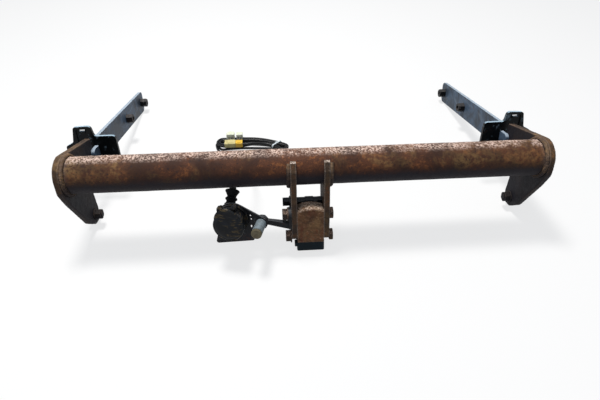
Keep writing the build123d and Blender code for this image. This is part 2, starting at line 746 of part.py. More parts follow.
def socket_housing():
    """Moulded barrel with its flange, the seat of the contact insert and two hinge lugs."""
    back = socket_flange_back()
    body = disc(SOCKET_FLANGE_R, back - SOCKET_FLANGE_T, back)
    body += disc(BARREL_R, BARREL_STEP, back - SOCKET_FLANGE_T)
    body += disc(NOSE_R, NOSE_FRONT, BARREL_STEP)
    body += disc(REAR_BOSS_R, back, SWING_PLATE_T)
    body -= disc(NOSE_BORE_R, NOSE_FRONT - 1, INSERT_FRONT)
    body -= disc(INSERT_R, INSERT_FRONT - 1, back - SOCKET_FLANGE_T)
    body -= disc(REAR_BOSS_R - 3, back - SOCKET_FLANGE_T - 1, SWING_PLATE_T + 1)
    for side in (1, -1):
        x_from, x_to = sorted((side * LUG_X[0], side * LUG_X[1]))
        lug = block(x_from, x_to, HINGE_Y + 4.5, -12, 20, HINGE_RISE + 1)
        lug += block(x_from, x_to, HINGE_Y, -20, HINGE_RISE - 3.5, HINGE_RISE + HINGE_KNUCKLE_R)
        lug += rod_x(HINGE_KNUCKLE_R, x_from, x_to, HINGE_Y, HINGE_RISE)
        body += lug - disc(NOSE_R + 1, -40, -10)
        body -= rod_x(HINGE_PIN_R + 0.05, x_from - 1, x_to + 1, HINGE_Y, HINGE_RISE)
    for x, z in own_screw_places():
        body -= rod_y(SCREW_R, back - 10, back + 1, x, z)
    return at_socket(body)


def socket_gasket():
    """Rubber gasket between the socket's flange and the folding plate."""
    ring = disc(SOCKET_FLANGE_R, -GASKET_T, 0) - disc(REAR_BOSS_R + 0.2, -GASKET_T - 1, 1)
    for x, z in own_screw_places():
        ring -= rod_y(SCREW_R + 0.3, -GASKET_T - 1, 1, x, z)
    return at_socket(ring)


def contact_places():
    """X and Z of the thirteen contacts: nine in the outer ring, four in the inner one."""
    places = []
    for count, ring_r in ((9, 14.5), (4, 6.0)):
        for i in range(count):
            turn = 2 * math.pi * i / count + math.pi / 2
            places.append((ring_r * math.cos(turn), ring_r * math.sin(turn)))
    return places


CONTACT_R = 2.6


def contact_insert():
    """Insulating disc that holds the contacts."""
    back = socket_flange_back() - SOCKET_FLANGE_T
    body = disc(INSERT_R, INSERT_FRONT, back)
    for x, z in contact_places():
        body -= rod_y(CONTACT_R, INSERT_FRONT - 1, back + 1, x, z)
    return at_socket(body)


def contact_sleeves():
    """Thirteen contact sleeves."""
    back = socket_flange_back() - SOCKET_FLANGE_T
    sleeves = []
    for x, z in contact_places():
        tube = rod_y(CONTACT_R, INSERT_FRONT - 3, back, x, z)
        sleeves.append(at_socket(tube - rod_y(CONTACT_R - 0.8, INSERT_FRONT - 4, back - 2, x, z)))
    return sleeves


def socket_screws():
    """Three screws from behind the folding plate into the socket's flange."""
    screws = []
    for x, z in own_screw_places():
        shank = rod_y(SCREW_R, -GASKET_T - 9, SWING_PLATE_T, x, z)
        head = rod_y(SCREW_HEAD_R, SWING_PLATE_T, SWING_PLATE_T + 3.2, x, z)
        screws.append(at_socket(shank + head))
    return screws


def rear_cover():
    """Moulded cover behind the folding plate, with the cable outlet."""
    body = disc(COVER_R, SWING_PLATE_T, COVER_REAR)
    body = fillet(body.edges().filter_by(GeomType.CIRCLE).sort_by(Axis.Y)[-1], 5)
    body += outlet_rod(OUTLET_R, 0, OUTLET_L)
    body -= disc(REAR_BOSS_R + 0.05, SWING_PLATE_T - 1, COVER_REAR - COVER_WALL)
    for x, z in own_screw_places():
        body -= rod_y(SCREW_HEAD_R + 0.3, SWING_PLATE_T - 1, SWING_PLATE_T + 4, x, z)
    return at_socket(body)


def outlet_plane(distance):
    """Plane across the cable outlet's axis, in the socket's own frame."""
    axis = Vector(*OUTLET_DIRECTION).normalized()
    place = Vector(*OUTLET_FOOT) + axis * distance
    return Plane(place, x_dir=(1, 0, 0), z_dir=axis)


def outlet_rod(radius, start, end):
    """Round bar along the cable outlet's axis."""
    return extrude(outlet_plane(start) * Circle(radius), amount=end - start)


def cable_boot():
    """Ribbed rubber boot over the cable outlet, with a wide sealing collar and a tapered tail."""
    outline = [
        (0, OUTLET_R + BOOT_GAP),
        (0, 12.0),
        (2, 13.3),
        (6, 13.3),
        (8.5, 10.4),
        (14.5, 10.0),
        (16, 13.0),
        (19, 13.0),
        (21, 9.8),
        (24, 9.8),
        (34, 15.5),
        (36.5, 15.5),
        (39, 8.0),
        (BOOT_L, LEAD_R + 1.6),
        (BOOT_L, 0),
        (OUTLET_L - BOOT_START + BOOT_GAP, 0),
        (OUTLET_L - BOOT_START + BOOT_GAP, OUTLET_R + BOOT_GAP),
    ]
    section = make_face(Polyline(*[(r, a) for a, r in outline], close=True))
    boot = outlet_plane(BOOT_START).location * revolve(Plane.XZ * section, Axis.Z, 360)
    return at_socket(boot - disc(COVER_R + BOOT_GAP, 0, COVER_REAR + BOOT_GAP))


def lead_exit(rest):
    """First two points of the lead's route, straight out of the boot's tail."""
    frame = rest * pivot_location() * Location((SOCKET_X, 0, SOCKET_Z), (0, -SOCKET_ROLL, 0))
    starts = (BOOT_START + BOOT_L + LEAD_GAP, BOOT_START + BOOT_L + LEAD_STRAIGHT)
    return [(frame * outlet_plane(distance).location).position for distance in starts]


def hinge_knuckles(pin_r):
    """The two knuckles of the lid round the hinge pin, with their webs down to the skirt."""
    body = None
    for side in (1, -1):
        x_from, x_to = sorted((side * KNUCKLE_X[0], side * KNUCKLE_X[1]))
        web = block(x_from, x_to, HINGE_Y - HINGE_KNUCKLE_R, HINGE_Y + 2.8, LID_R - 2.2, HINGE_RISE)
        knuckle = rod_x(HINGE_KNUCKLE_R, x_from, x_to, HINGE_Y, HINGE_RISE) + web
        knuckle -= rod_x(pin_r, x_from - 1, x_to + 1, HINGE_Y, HINGE_RISE)
        body = knuckle if body is None else body + knuckle
    return body


def socket_lid():
    """Sprung lid: a shallow cup over the barrel's nose, hung on two knuckles at the top."""
    cup = disc(LID_R, LID_FRONT, LID_FRONT + LID_SKIRT)
    cup = fillet(cup.edges().filter_by(GeomType.CIRCLE).sort_by(Axis.Y)[0], 2.5)
    cup -= disc(LID_R - LID_WALL, LID_FRONT + LID_FACE_T, LID_FRONT + LID_SKIRT + 1)
    body = cup + (hinge_knuckles(HINGE_PIN_R + 0.3) - disc(LID_R - LID_WALL, LID_FRONT, 0))
    thumb = block(-9, 9, LID_FRONT + 3, LID_FRONT + 8, -LID_R - 2.5, -LID_R + 1)
    return at_socket(body + thumb)


def lid_seal():
    """Foam ring inside the lid that closes on the barrel's nose."""
    front = LID_FRONT + LID_FACE_T
    ring = disc(NOSE_R + 2, front, NOSE_FRONT - PIVOT_GAP)
    return at_socket(ring - disc(NOSE_BORE_R - 1, front - 1, NOSE_FRONT))


def lid_hinge_pin():
    """Pin of the lid's hinge, held in the barrel's lugs."""
    end = LUG_X[1] + 0.6
    return at_socket(rod_x(HINGE_PIN_R, -end, end, HINGE_Y, HINGE_RISE))


def lid_spring():
    """Torsion spring of the lid, wound round the middle of the hinge pin."""
    coil_r = 2.9
    path = Helix(pitch=1.7, height=6.8, radius=coil_r)
    start = Plane(path @ 0, z_dir=path % 0)
    wire = sweep(start * Circle(0.55), path=path)
    lying = Pos(-3.4, HINGE_Y, HINGE_RISE) * Rot(0, 90, 0) * wire
    return at_socket(lying)


# Wiring loom, built on the ground in the resting frame


def coil_height(layer):
    """Height of the middle of a turn in a layer, counted from 0."""
    return LEAD_R + COIL_LIFT + layer * COIL_STEP_UP


def half_turn(x, y_from, y_to, z, bulge):
    """Half turn of the coil's end about X = x; bulge is 1 to the right and -1 to the left."""
    radius = abs(y_to - y_from) / 2
    middle = (x + bulge * radius, (y_from + y_to) / 2, z)
    return ThreePointArc((x, y_from, z), middle, (x, y_to, z))


def climb(x_from, x_to, y, z_from, z_to):
    """Straight run that rises by one layer in a long gentle S."""
    bend = (x_to - x_from) * 0.3
    points = [(x_from, y, z_from), (x_from + bend, y, z_from), (x_to - bend, y, z_to), (x_to, y, z_to)]
    return list(FilletPolyline(*points, radius=[CLIMB_R, CLIMB_R]).edges())


def coil_path():
    """Centre line of the hank: one layer wound inwards, the next outwards, then the tail."""
    left, right = -COIL_HALF_RUN, COIL_HALF_RUN
    low, high, tail_z = (coil_height(layer) for layer in range(3))
    outer = COIL_END_R
    inner = outer - 2 * COIL_PITCH
    edges = [
        Line((left - outer, -2 * LEAD_R, low), (left - outer, 0, low)),
        RadiusArc((left - outer, 0, low), (left, outer, low), outer),
    ]
    y = outer
    while y > inner + 1:
        edges.append(Line((left, y, low), (right, y, low)))
        nearer = y - COIL_PITCH
        edges.append(half_turn(right, y, -nearer, low, 1))
        if nearer > inner + 1:
            edges.append(Line((right, -nearer, low), (left, -nearer, low)))
            edges.append(half_turn(left, -nearer, nearer, low, -1))
        y = nearer
    edges += climb(right, left, -inner, low, high)
    y = inner
    while y < outer - 1:
        wider = y + COIL_PITCH
        edges.append(half_turn(left, -y, wider, high, -1))
        edges.append(Line((left, wider, high), (right, wider, high)))
        edges.append(half_turn(right, wider, -wider, high, 1))
        if wider < outer - 1:
            edges.append(Line((right, -wider, high), (left, -wider, high)))
        y = wider
    return edges + climb(right, left + COIL_TAIL_X, -outer, high, tail_z)


def coil_tail_end():
    """Where the coil's tail ends, in the resting frame."""
    x = COIL_CENTRE[0] - COIL_HALF_RUN + COIL_TAIL_X
    y = COIL_CENTRE[1] - COIL_END_R
    return x, y, coil_height(2)


def lead_coil():
    """The oval hank of the loom, one unbroken tube."""
    path = Wire(coil_path())
    start = Plane(path @ 0, z_dir=path % 0)
    tube = sweep(start * Circle(LEAD_R), path=path)
    print("coil length", round(path.length, 1), "volume ratio", round(tube.volume / (math.pi * LEAD_R**2 * path.length), 4))
    print("coil least gap to itself", round(coil_gap(path), 2))
    return Pos(COIL_CENTRE[0], COIL_CENTRE[1], 0) * tube


def coil_gap(path):
    """Least gap between stretches of the coil, measured on points of its centre line."""
    step = 2.0
    count = int(path.length / step)
    points = [path.position_at(i / count) for i in range(count + 1)]
    near = int(3 * math.pi * LEAD_R / step)
    least = min(
        (points[i] - points[j]).length
        for i in range(0, count)
        for j in range(i + near, count + 1)
    )
    return least - 2 * LEAD_R


def lead_points(exit_points):
    """Route of the free lead from the boot to the coil."""
    x = COIL_CENTRE[0] - COIL_HALF_RUN - COIL_END_R
    last = (x, COIL_CENTRE[1] - 2 * LEAD_R, coil_height(0))
    return exit_points + [Vector(*p) for p in LEAD_ROUTE] + [Vector(*last)]


def corner_radii(points):
    """Largest tangent arc that each corner of a route allows."""
    radii = []
    for before, here, after in zip(points, points[1:], points[2:]):
        turn = math.radians((here - before).get_angle(after - here))
        shorter = min((here - before).length, (after - here).length)
        radii.append(0.45 * shorter / math.tan(turn / 2))
    return radii


def lead_run(exit_points):
    """Free stretch of the loom, from the boot over the ground to the coil."""
    points = lead_points(exit_points)
    radii = corner_radii(points)
    print("lead radii", [round(r) for r in radii])
    print("lead runs", [round((b - a).length) for a, b in zip(points, points[1:])])
    print("lead points", [(round(p.X, 1), round(p.Y, 1), round(p.Z, 1)) for p in points])
    path = FilletPolyline(*points, radius=radii)
    start = Plane(path @ 0, z_dir=path % 0)
    tube = sweep(start * Circle(LEAD_R), path=path)
    print("lead length", round(path.length, 1), "volume ratio", round(tube.volume / (math.pi * LEAD_R**2 * path.length), 4))
    return tube


def coil_tie():
    """Flat tie round the rear runs of the hank."""
    half = COIL_PITCH + LEAD_R + 0.15
    middle_y = COIL_END_R - COIL_PITCH
    bottom = COIL_LIFT - 0.05
    top = coil_height(1) + LEAD_R + 0.15
    inner = rounded([
        (middle_y - half, bottom, 2), (middle_y + half, bottom, 2),
        (middle_y + half, top, 2), (middle_y - half, top, 2),
    ])
    outer = rounded([
        (middle_y - half - TIE_T, bottom - TIE_T, 2.8), (middle_y + half + TIE_T, bottom - TIE_T, 2.8),
        (middle_y + half + TIE_T, top + TIE_T, 2.8), (middle_y - half - TIE_T, top + TIE_T, 2.8),
    ])
    band = slab_x(outer - inner, TIE_X, TIE_X + TIE_WIDTH)
    head = block(TIE_X - 0.6, TIE_X + TIE_WIDTH + 0.6, middle_y - 3, middle_y + 3, top + TIE_T, top + TIE_T + 3)
    return Pos(COIL_CENTRE[0], COIL_CENTRE[1], 0) * (band + head)


def connector_block(size, x, y, z):
    """Connector housing standing on z with its front face at y and a row of cavities behind."""
    length_x, length_y, height = size
    body = block(x - length_x / 2, x + length_x / 2, y, y + length_y, z, z + height)
    body = fillet(body.edges().filter_by(Axis.Z), 1)
    count = 3
    pitch = length_x / count
    for i in range(count):
        middle = x - length_x / 2 + (i + 0.5) * pitch
        for level in (0.28, 0.72):
            hole_z = z + height * level
            body -= block(
                middle - pitch * 0.3, middle + pitch * 0.3, y + length_y - 6, y + length_y + 1,
                hole_z - height * 0.15, hole_z + height * 0.15,
            )
    return body


def coil_top():
    """Height of what lies on the coil's two layers."""
    return coil_height(1) + LEAD_R + SEAT_GAP


def cream_place():
    """Centre X, front Y and foot Z of the cream connector, left of the yellow one."""
    x, y, foot = yellow_place()
    return x - YELLOW_SIZE[0] / 2 - CONNECTOR_GAP - CREAM_SIZE[0] / 2, y, foot


def connector_cream():
    """Larger connector beside the one that the loom ends in."""
    return connector_block(CREAM_SIZE, *cream_place())


def yellow_place():
    """Centre X, front Y and foot Z of the yellow connector, whose right side takes the coil's tail."""
    x, y, _ = coil_tail_end()
    return x - YELLOW_SIZE[0] / 2, y - LEAD_R, coil_top()


def connector_yellow():
    """Smaller connector that the loom ends in."""
    return connector_block(YELLOW_SIZE, *yellow_place())


def clear_places():
    """Size and centre X, front Y and foot Z of the two clear connectors behind the others."""
    cream_x, cream_y, foot = cream_place()
    yellow_x, yellow_y, _ = yellow_place()
    return [
        (WHITE_SIZE, (cream_x, cream_y + CREAM_SIZE[1] + WIRE_REACH, foot)),
        (PALE_SIZE, (yellow_x + 0.5, yellow_y + YELLOW_SIZE[1] + WIRE_REACH + 2, foot)),
    ]


def connector_clear():
    """Two clear connectors on short wires."""
    return [connector_block(size, *place) for size, place in clear_places()]


def connector_wires():
    """Short wires from the larger blocks to the clear connectors."""
    wires = []
    starts = ((CREAM_SIZE, cream_place()), (YELLOW_SIZE, yellow_place()))
    for (size, place), (clear_size, clear_place) in zip(starts, clear_places()):
        for shift in (-2.5, 2.5):
            start = (place[0] + shift, place[1] + size[1], place[2] + 4.5)
            end = (clear_place[0] + shift, clear_place[1], clear_place[2] + clear_size[2] / 2)
            wires.append(wire_between(start, end))
    return wires


def wire_between(start, end):
    """Wire along Y between two faces, with a slight sideways bend."""
    reach = end[1] - start[1]
    bend = reach * 0.35
    points = [start, (start[0], start[1] + bend, start[2]), (end[0], end[1] - bend, end[2]), end]
    path = FilletPolyline(*points, radius=[2.5, 2.5])
    return sweep(Plane(start, z_dir=(0, 1, 0)) * Circle(PIGTAIL_R), path=path)


# The nodes, the resting pose and the files


def both(name, shape):
    """A right-hand piece and its mirror image under their names."""
    return {name + "_right": shape, name + "_left": mirrored(shape)}


def pair(shape):
    """A right-hand piece and its mirror image, for one node."""
    return [shape, mirrored(shape)]


def bar_nodes():
    """Every node that isn't part of the loom, in the bar's frame."""
    nodes = {"cross_tube": cross_tube()}
    nodes.update(both("end_plate", end_plate_right()))
    nodes["tube_end_welds"] = pair(tube_end_weld())
    nodes.update(both("side_arm", side_arm_right()))
    right_nuts = arm_weld_nuts_right()
    nodes["arm_weld_nuts_right"] = right_nuts
    nodes["arm_weld_nuts_left"] = [mirrored(nut) for nut in right_nuts]
    right_welds = arm_welds_right()
    nodes["arm_welds"] = right_welds + [mirrored(bead) for bead in right_welds]
    nodes.update(both("rail_flange", rail_flange_right()))
    nodes["tongue_bolts"] = pair(tongue_bolt_right())
    nodes["tongue_washers"] = pair(tongue_washer_right())
    nodes["tongue_nuts"] = pair(tongue_nut_right())
    nodes.update(both("neck_plate", neck_plate_right()))
    nodes["neck_welds"] = pair(neck_weld_right())
    nodes["receiver_housing"] = receiver_housing()
    nodes["receiver_sleeve"] = receiver_sleeve()
    nodes["receiver_plug"] = receiver_plug()
    nodes["housing_bolts"] = housing_bolts()
    nodes["housing_washers"] = housing_washers()
    nodes["housing_nuts"] = housing_nuts()
    nodes["stay_bolt"] = stay_bolt()
    nodes["stay_tube"] = stay_tube()
    nodes["stay_nut"] = stay_nut()
    nodes["socket_bracket"] = socket_bracket()
    nodes["pivot_bolt"] = pivot_bolt()
    nodes["pivot_washers"] = pivot_washers()
    nodes["pivot_nut"] = pivot_nut()
    nodes["pivot_tube"] = pivot_tube()
    nodes["swing_plate"] = swing_plate()
    nodes["socket_housing"] = socket_housing()
    nodes["socket_gasket"] = socket_gasket()
    nodes["contact_insert"] = contact_insert()
    nodes["contact_sleeves"] = contact_sleeves()
    nodes["socket_screws"] = socket_screws()
    nodes["socket_rear_cover"] = rear_cover()
    nodes["cable_boot"] = cable_boot()
    nodes["socket_lid"] = socket_lid()
    nodes["lid_seal"] = lid_seal()
    nodes["lid_hinge_pin"] = lid_hinge_pin()
    nodes["lid_spring"] = lid_spring()
    return nodes


def rest_tilt():
    """Angle in degrees by which the arms slope down when the bar lies on its plug and arm tips."""
    y1, z1, r1 = plug_lowest_arc()
    y2, z2, r2 = ARM_TIP - ARM_TIP_R, ARM_BOTTOM + ARM_TIP_R, ARM_TIP_R
    length = math.hypot(y2 - y1, z2 - z1)
    return math.degrees(math.atan2(z2 - z1, y2 - y1) - math.asin((r2 - r1) / length))


def as_list(shape):
    """Always a list of solids."""
    return shape if isinstance(shape, list) else [shape]


def resting_location(nodes):
    """Tips the bar to its resting pose and puts the middle of its footprint at the origin."""
    tilt = Location((0, 0, 0), (-rest_tilt(), 0, 0))
    tipped = [tilt * solid for shape in nodes.values() for solid in as_list(shape)]
    box = Compound(children=tipped).bounding_box()
    middle = ((box.min.X + box.max.X) / 2, (box.min.Y + box.max.Y) / 2)
    return Location((-middle[0], -middle[1], -box.min.Z)) * tilt


def loom_nodes(exit_points):
    """Every node of the loom, in the resting frame."""
    return {
        "lead_run": lead_run(exit_points),
        "lead_coil": lead_coil(),
        "coil_tie": coil_tie(),
        "connector_cream": connector_cream(),
        "connector_yellow": connector_yellow(),
        "connector_clear": connector_clear(),
        "connector_wires": connector_wires(),
    }


def metres(vector):
    """A point in metres, for the record."""
    return [round(vector.X / 1000, 6), round(vector.Y / 1000, 6), round(vector.Z / 1000, 6)]


def report_places(rest):
    """Print the joints' and mounts' places in the resting frame."""

    def place(x, y, z):
        return (rest * Location((x, y, z))).position

    def direction(x, y, z):
        return (place(x, y, z) - place(0, 0, 0)).normalized()

    def show(name, point, axis):
        print(name, metres(point), [round(axis.X, 6), round(axis.Y, 6), round(axis.Z, 6)])

    origin = in_bar(0, 0, 0)
    ahead = in_bar(0, 1, 0) - origin
    show("swing hinge", place(*origin), direction(*ahead))
    socket = pivot_location() * Location((SOCKET_X, 0, SOCKET_Z), (0, -SOCKET_ROLL, 0))
    pin = (socket * Location((0, HINGE_Y, HINGE_RISE))).position
    across = (socket * Location((1, HINGE_Y, HINGE_RISE))).position - pin
    show("lid hinge", place(*pin), direction(*across))
    mouth = (socket * Location((0, NOSE_FRONT, 0))).position
    show("socket mouth", place(*mouth), direction(*-ahead))
    bore_z = (HOUSING_BOTTOM - COLLAR_H + BORE_CEILING) / 2
    show("receiver bore middle", place(0, BORE_Y, bore_z), direction(0, 0, -1))
    print("receiver bore length", BORE_CEILING - HOUSING_BOTTOM + COLLAR_H)
    for y in nut_places():
        x = ARM_IN - NUT_LENGTH / 2
        show("arm nut right", place(x, y, nut_height()), direction(1, 0, 0))
        show("arm nut left", place(-x, y, nut_height()), direction(-1, 0, 0))
    for x in flange_hole_places():
        show("flange hole", place(x, FLANGE_Y + FLANGE_T / 2, FLANGE_HOLE_Z), direction(0, 1, 0))
    middle_y = (ARM_FRONT + ARM_TIP) / 2 + 60
    show("arm face right", place(PLATE_IN, middle_y, nut_height()), direction(1, 0, 0))
    show("arm face left", place(-PLATE_IN, middle_y, nut_height()), direction(-1, 0, 0))
    show("bar origin", place(0, 0, 0), direction(0, 0, 1))
    print("rest tilt", rest_tilt())


def main():
    """Build every node and write its file."""
    nodes = bar_nodes()
    rest = resting_location(nodes)
    placed = {name: [rest * solid for solid in as_list(shape)] for name, shape in nodes.items()}
    for name, shape in loom_nodes(lead_exit(rest)).items():
        placed[name] = as_list(shape)
    os.makedirs("parts", exist_ok=True)
    for name, solids in placed.items():
        flat = [solid for shape in solids for solid in shape.solids()]
        whole = flat[0] if len(flat) == 1 else Compound(children=flat)
        export_step(whole, f"parts/{name}.step")
    report_places(rest)
    print(len(placed), "nodes")


main()
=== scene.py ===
"""Studio scene of a removable-neck towing bar that lies on the ground with its wiring loom.

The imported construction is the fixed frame. Rusted plates and castings get weathered skins, painted
plates get softened edges, and the tube, welds, lid, boot, loom and connectors are modelled here.
"""

from __future__ import annotations

import json
import logging
import math
from collections.abc import Iterator
from contextlib import contextmanager
from dataclasses import dataclass, field
from enum import Enum

import bmesh
import bpy
from mathutils import Euler, Matrix, Vector

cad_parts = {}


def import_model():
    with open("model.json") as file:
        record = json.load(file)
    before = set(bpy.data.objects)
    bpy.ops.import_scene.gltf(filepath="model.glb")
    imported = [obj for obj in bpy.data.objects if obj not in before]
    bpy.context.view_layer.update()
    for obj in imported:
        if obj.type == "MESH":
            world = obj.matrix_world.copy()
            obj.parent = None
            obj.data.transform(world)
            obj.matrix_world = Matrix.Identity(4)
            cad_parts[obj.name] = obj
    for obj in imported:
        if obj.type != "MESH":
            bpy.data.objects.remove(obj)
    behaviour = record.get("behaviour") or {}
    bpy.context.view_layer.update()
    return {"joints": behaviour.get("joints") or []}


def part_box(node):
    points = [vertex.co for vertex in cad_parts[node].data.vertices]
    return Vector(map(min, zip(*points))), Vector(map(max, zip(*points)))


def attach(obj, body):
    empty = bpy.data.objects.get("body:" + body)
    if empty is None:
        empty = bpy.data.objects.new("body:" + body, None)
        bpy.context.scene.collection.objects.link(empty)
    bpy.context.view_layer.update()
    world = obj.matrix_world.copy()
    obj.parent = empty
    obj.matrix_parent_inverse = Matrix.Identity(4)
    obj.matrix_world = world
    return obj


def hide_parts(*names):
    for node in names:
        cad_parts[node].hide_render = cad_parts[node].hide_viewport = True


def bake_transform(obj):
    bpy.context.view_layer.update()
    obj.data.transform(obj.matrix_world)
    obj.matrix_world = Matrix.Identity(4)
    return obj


LOG = logging.getLogger("towbar")

MM = 0.001
SHORTEST = 1e-9
MERGE_WITHIN = 0.01 * MM
COPY_MERGE_WITHIN = 0.005 * MM
FLAT_WITHIN = math.radians(1.5)
SHARP_FROM = math.radians(40)
SIDES = (("right", 1), ("left", -1))
SPECULAR = "Specular IOR Level"
WHITE = (1.0, 1.0, 1.0, 1.0)
Tone = tuple[float, float, float]


class Body(str, Enum):
    """The moving bodies of the frame."""

    BAR = "bar"
    SWING = "swing"
    LID = "lid"
    PLUG = "plug"


def tone(red: int, green: int, blue: int) -> Tone:
    """Turn a colour written as it looks on a screen into the shader's linear values.

    Args:
        red: Red, 0 to 255.
        green: Green, 0 to 255.
        blue: Blue, 0 to 255.

    Returns:
        The linear colour.
    """
    shares = (red / 255, green / 255, blue / 255)
    linear = [s / 12.92 if s <= 0.04045 else ((s + 0.055) / 1.055) ** 2.4 for s in shares]
    return linear[0], linear[1], linear[2]


class Finish:
    """A material under construction, with short calls for the nodes that the finishes share."""

    def __init__(self, name: str) -> None:
        """Start a material.

        Args:
            name: The material's name.
        """
        self.material = bpy.data.materials.new(name)
        self.material.use_nodes = True
        self.tree = self.material.node_tree
        self.surface = self.tree.nodes["Principled BSDF"]
        self.coordinates = self.tree.nodes.new("ShaderNodeTexCoord")
        self.place = self.coordinates.outputs["Object"]
        self.normal = self.coordinates.outputs["Normal"]

    def node(self, kind: str, **settings: object) -> bpy.types.Node:
        """Add a node and set its properties.

        Args:
            kind: The node's type.
            **settings: Properties of the node.

        Returns:
            The node.
        """
        made = self.tree.nodes.new(kind)
        for key, value in settings.items():
            setattr(made, key, value)
        return made

    def feed(self, socket: bpy.types.NodeSocket, value: object) -> None:
        """Link a socket to another node's output, or set its value.

        Args:
            socket: The input socket.
            value: An output socket, a number or a colour.
        """
        if isinstance(value, bpy.types.NodeSocket):
            self.tree.links.new(value, socket)
        elif isinstance(value, tuple) and len(value) == 3 and socket.type == "RGBA":
            socket.default_value = (*value, 1.0)
        else:
            socket.default_value = value

    def noise(self, scale: float, detail: float = 4.0, warp: float = 0.0) -> bpy.types.NodeSocket:
        """Cloudy pattern.

        Args:
            scale: Features per metre.
            detail: Octaves.
            warp: Distortion.

        Returns:
            The pattern's value.
        """
        made = self.node("ShaderNodeTexNoise")
        self.feed(made.inputs["Vector"], self.place)
        made.inputs["Scale"].default_value = scale
        made.inputs["Detail"].default_value = detail
        made.inputs["Roughness"].default_value = 0.62
        made.inputs["Distortion"].default_value = warp
        return made.outputs["Fac"]

    def streaks(self, scale: float, stretch: Tone, turn: Tone = (0.0, 0.0, 0.0)) -> bpy.types.NodeSocket:
        """Cloudy pattern drawn out along one direction.

        Args:
            scale: Features per metre.
            stretch: Scale along each axis.
            turn: Turn of the pattern in degrees about each axis.

        Returns:
            The pattern's value.
        """
        mapping = self.node("ShaderNodeMapping")
        self.feed(mapping.inputs["Vector"], self.place)
        mapping.inputs["Scale"].default_value = stretch
        mapping.inputs["Rotation"].default_value = tuple(math.radians(angle) for angle in turn)
        made = self.node("ShaderNodeTexNoise")
        self.feed(made.inputs["Vector"], mapping.outputs["Vector"])
        made.inputs["Scale"].default_value = scale
        made.inputs["Detail"].default_value = 5.0
        return made.outputs["Fac"]

    def band(self, source: bpy.types.NodeSocket, low: float, high: float) -> bpy.types.NodeSocket:
        """Smooth step between two values.

        Args:
            source: The value to step.
            low: Value that gives 0.
            high: Value that gives 1.

        Returns:
            The stepped value.
        """
        made = self.node("ShaderNodeMapRange", interpolation_type="SMOOTHSTEP")
        self.feed(made.inputs["Value"], source)
        made.inputs["From Min"].default_value = low
        made.inputs["From Max"].default_value = high
        return made.outputs["Result"]

    def calc(self, operation: str, first: object, second: object) -> bpy.types.NodeSocket:
        """Arithmetic on two values.

        Args:
            operation: The Math node's operation.
            first: Number or socket.
            second: Number or socket.

        Returns:
            The result.
        """
        made = self.node("ShaderNodeMath", operation=operation, use_clamp=operation != "SUBTRACT")
        self.feed(made.inputs[0], first)
        self.feed(made.inputs[1], second)
        return made.outputs["Value"]

    def times(self, first: object, second: object) -> bpy.types.NodeSocket:
        """Multiply two values."""
        return self.calc("MULTIPLY", first, second)

    def plus(self, first: object, second: object) -> bpy.types.NodeSocket:
        """Add two values."""
        return self.calc("ADD", first, second)

    def part(self, vector: bpy.types.NodeSocket, axis: str) -> bpy.types.NodeSocket:
        """One part of a vector, named X, Y or Z."""
        split = self.node("ShaderNodeSeparateXYZ")
        self.feed(split.inputs[0], vector)
        return split.outputs[axis]

    def size_of(self, value: bpy.types.NodeSocket) -> bpy.types.NodeSocket:
        """A value without its sign."""
        made = self.node("ShaderNodeMath", operation="ABSOLUTE")
        self.feed(made.inputs[0], value)
        return made.outputs["Value"]

    def mix(self, share: object, under: object, over: object) -> bpy.types.NodeSocket:
        """Lay one colour over another.

        Args:
            share: How much of the upper colour shows.
            under: The lower colour.
            over: The upper colour.

        Returns:
            The mixed colour.
        """
        made = self.node("ShaderNodeMix", data_type="RGBA", clamp_factor=True)
        self.feed(made.inputs[0], share)
        self.feed(made.inputs[6], under)
        self.feed(made.inputs[7], over)
        return made.outputs[2]

    def facing(self, direction: Tone) -> bpy.types.NodeSocket:
        """How far the surface faces one way, from -1 to 1, on the piece at rest.

        Args:
            direction: The way, as a vector of length 1.

        Returns:
            The value.
        """
        made = self.node("ShaderNodeVectorMath", operation="DOT_PRODUCT")
        self.feed(made.inputs[0], self.normal)
        made.inputs[1].default_value = direction
        return made.outputs["Value"]

    def upward(self) -> bpy.types.NodeSocket:
        """How far the surface faces up, from -1 to 1, on the piece at rest."""
        return self.part(self.normal, "Z")

    def sideways(self) -> bpy.types.NodeSocket:
        """How far the surface faces along X, either way, on the piece at rest."""
        return self.size_of(self.part(self.normal, "X"))

    def crests(self) -> bpy.types.NodeSocket:
        """Mask of raised edges and corners."""
        made = self.node("ShaderNodeNewGeometry")
        return self.band(made.outputs["Pointiness"], 0.505, 0.58)

    def relief(self, height: object, depth: float, strength: float = 1.0) -> None:
        """Give the surface a fine relief.

        Args:
            height: The height pattern.
            depth: Real depth in metres between its 0 and 1.
            strength: Strength of the effect.
        """
        made = self.node("ShaderNodeBump")
        made.inputs["Strength"].default_value = strength
        made.inputs["Distance"].default_value = depth
        self.feed(made.inputs["Height"], height)
        self.feed(self.surface.inputs["Normal"], made.outputs["Normal"])

    def done(self, colour: object, roughness: object, metal: float = 0.0) -> bpy.types.Material:
        """Feed the main sockets and return the material.

        Args:
            colour: Base colour.
            roughness: Roughness.
            metal: How metallic the surface is.

        Returns:
            The material.
        """
        self.feed(self.surface.inputs["Base Color"], colour)
        self.feed(self.surface.inputs["Roughness"], roughness)
        self.surface.inputs["Metallic"].default_value = metal
        self.material.diffuse_color = (0.5, 0.5, 0.5, 1.0)
        return self.material


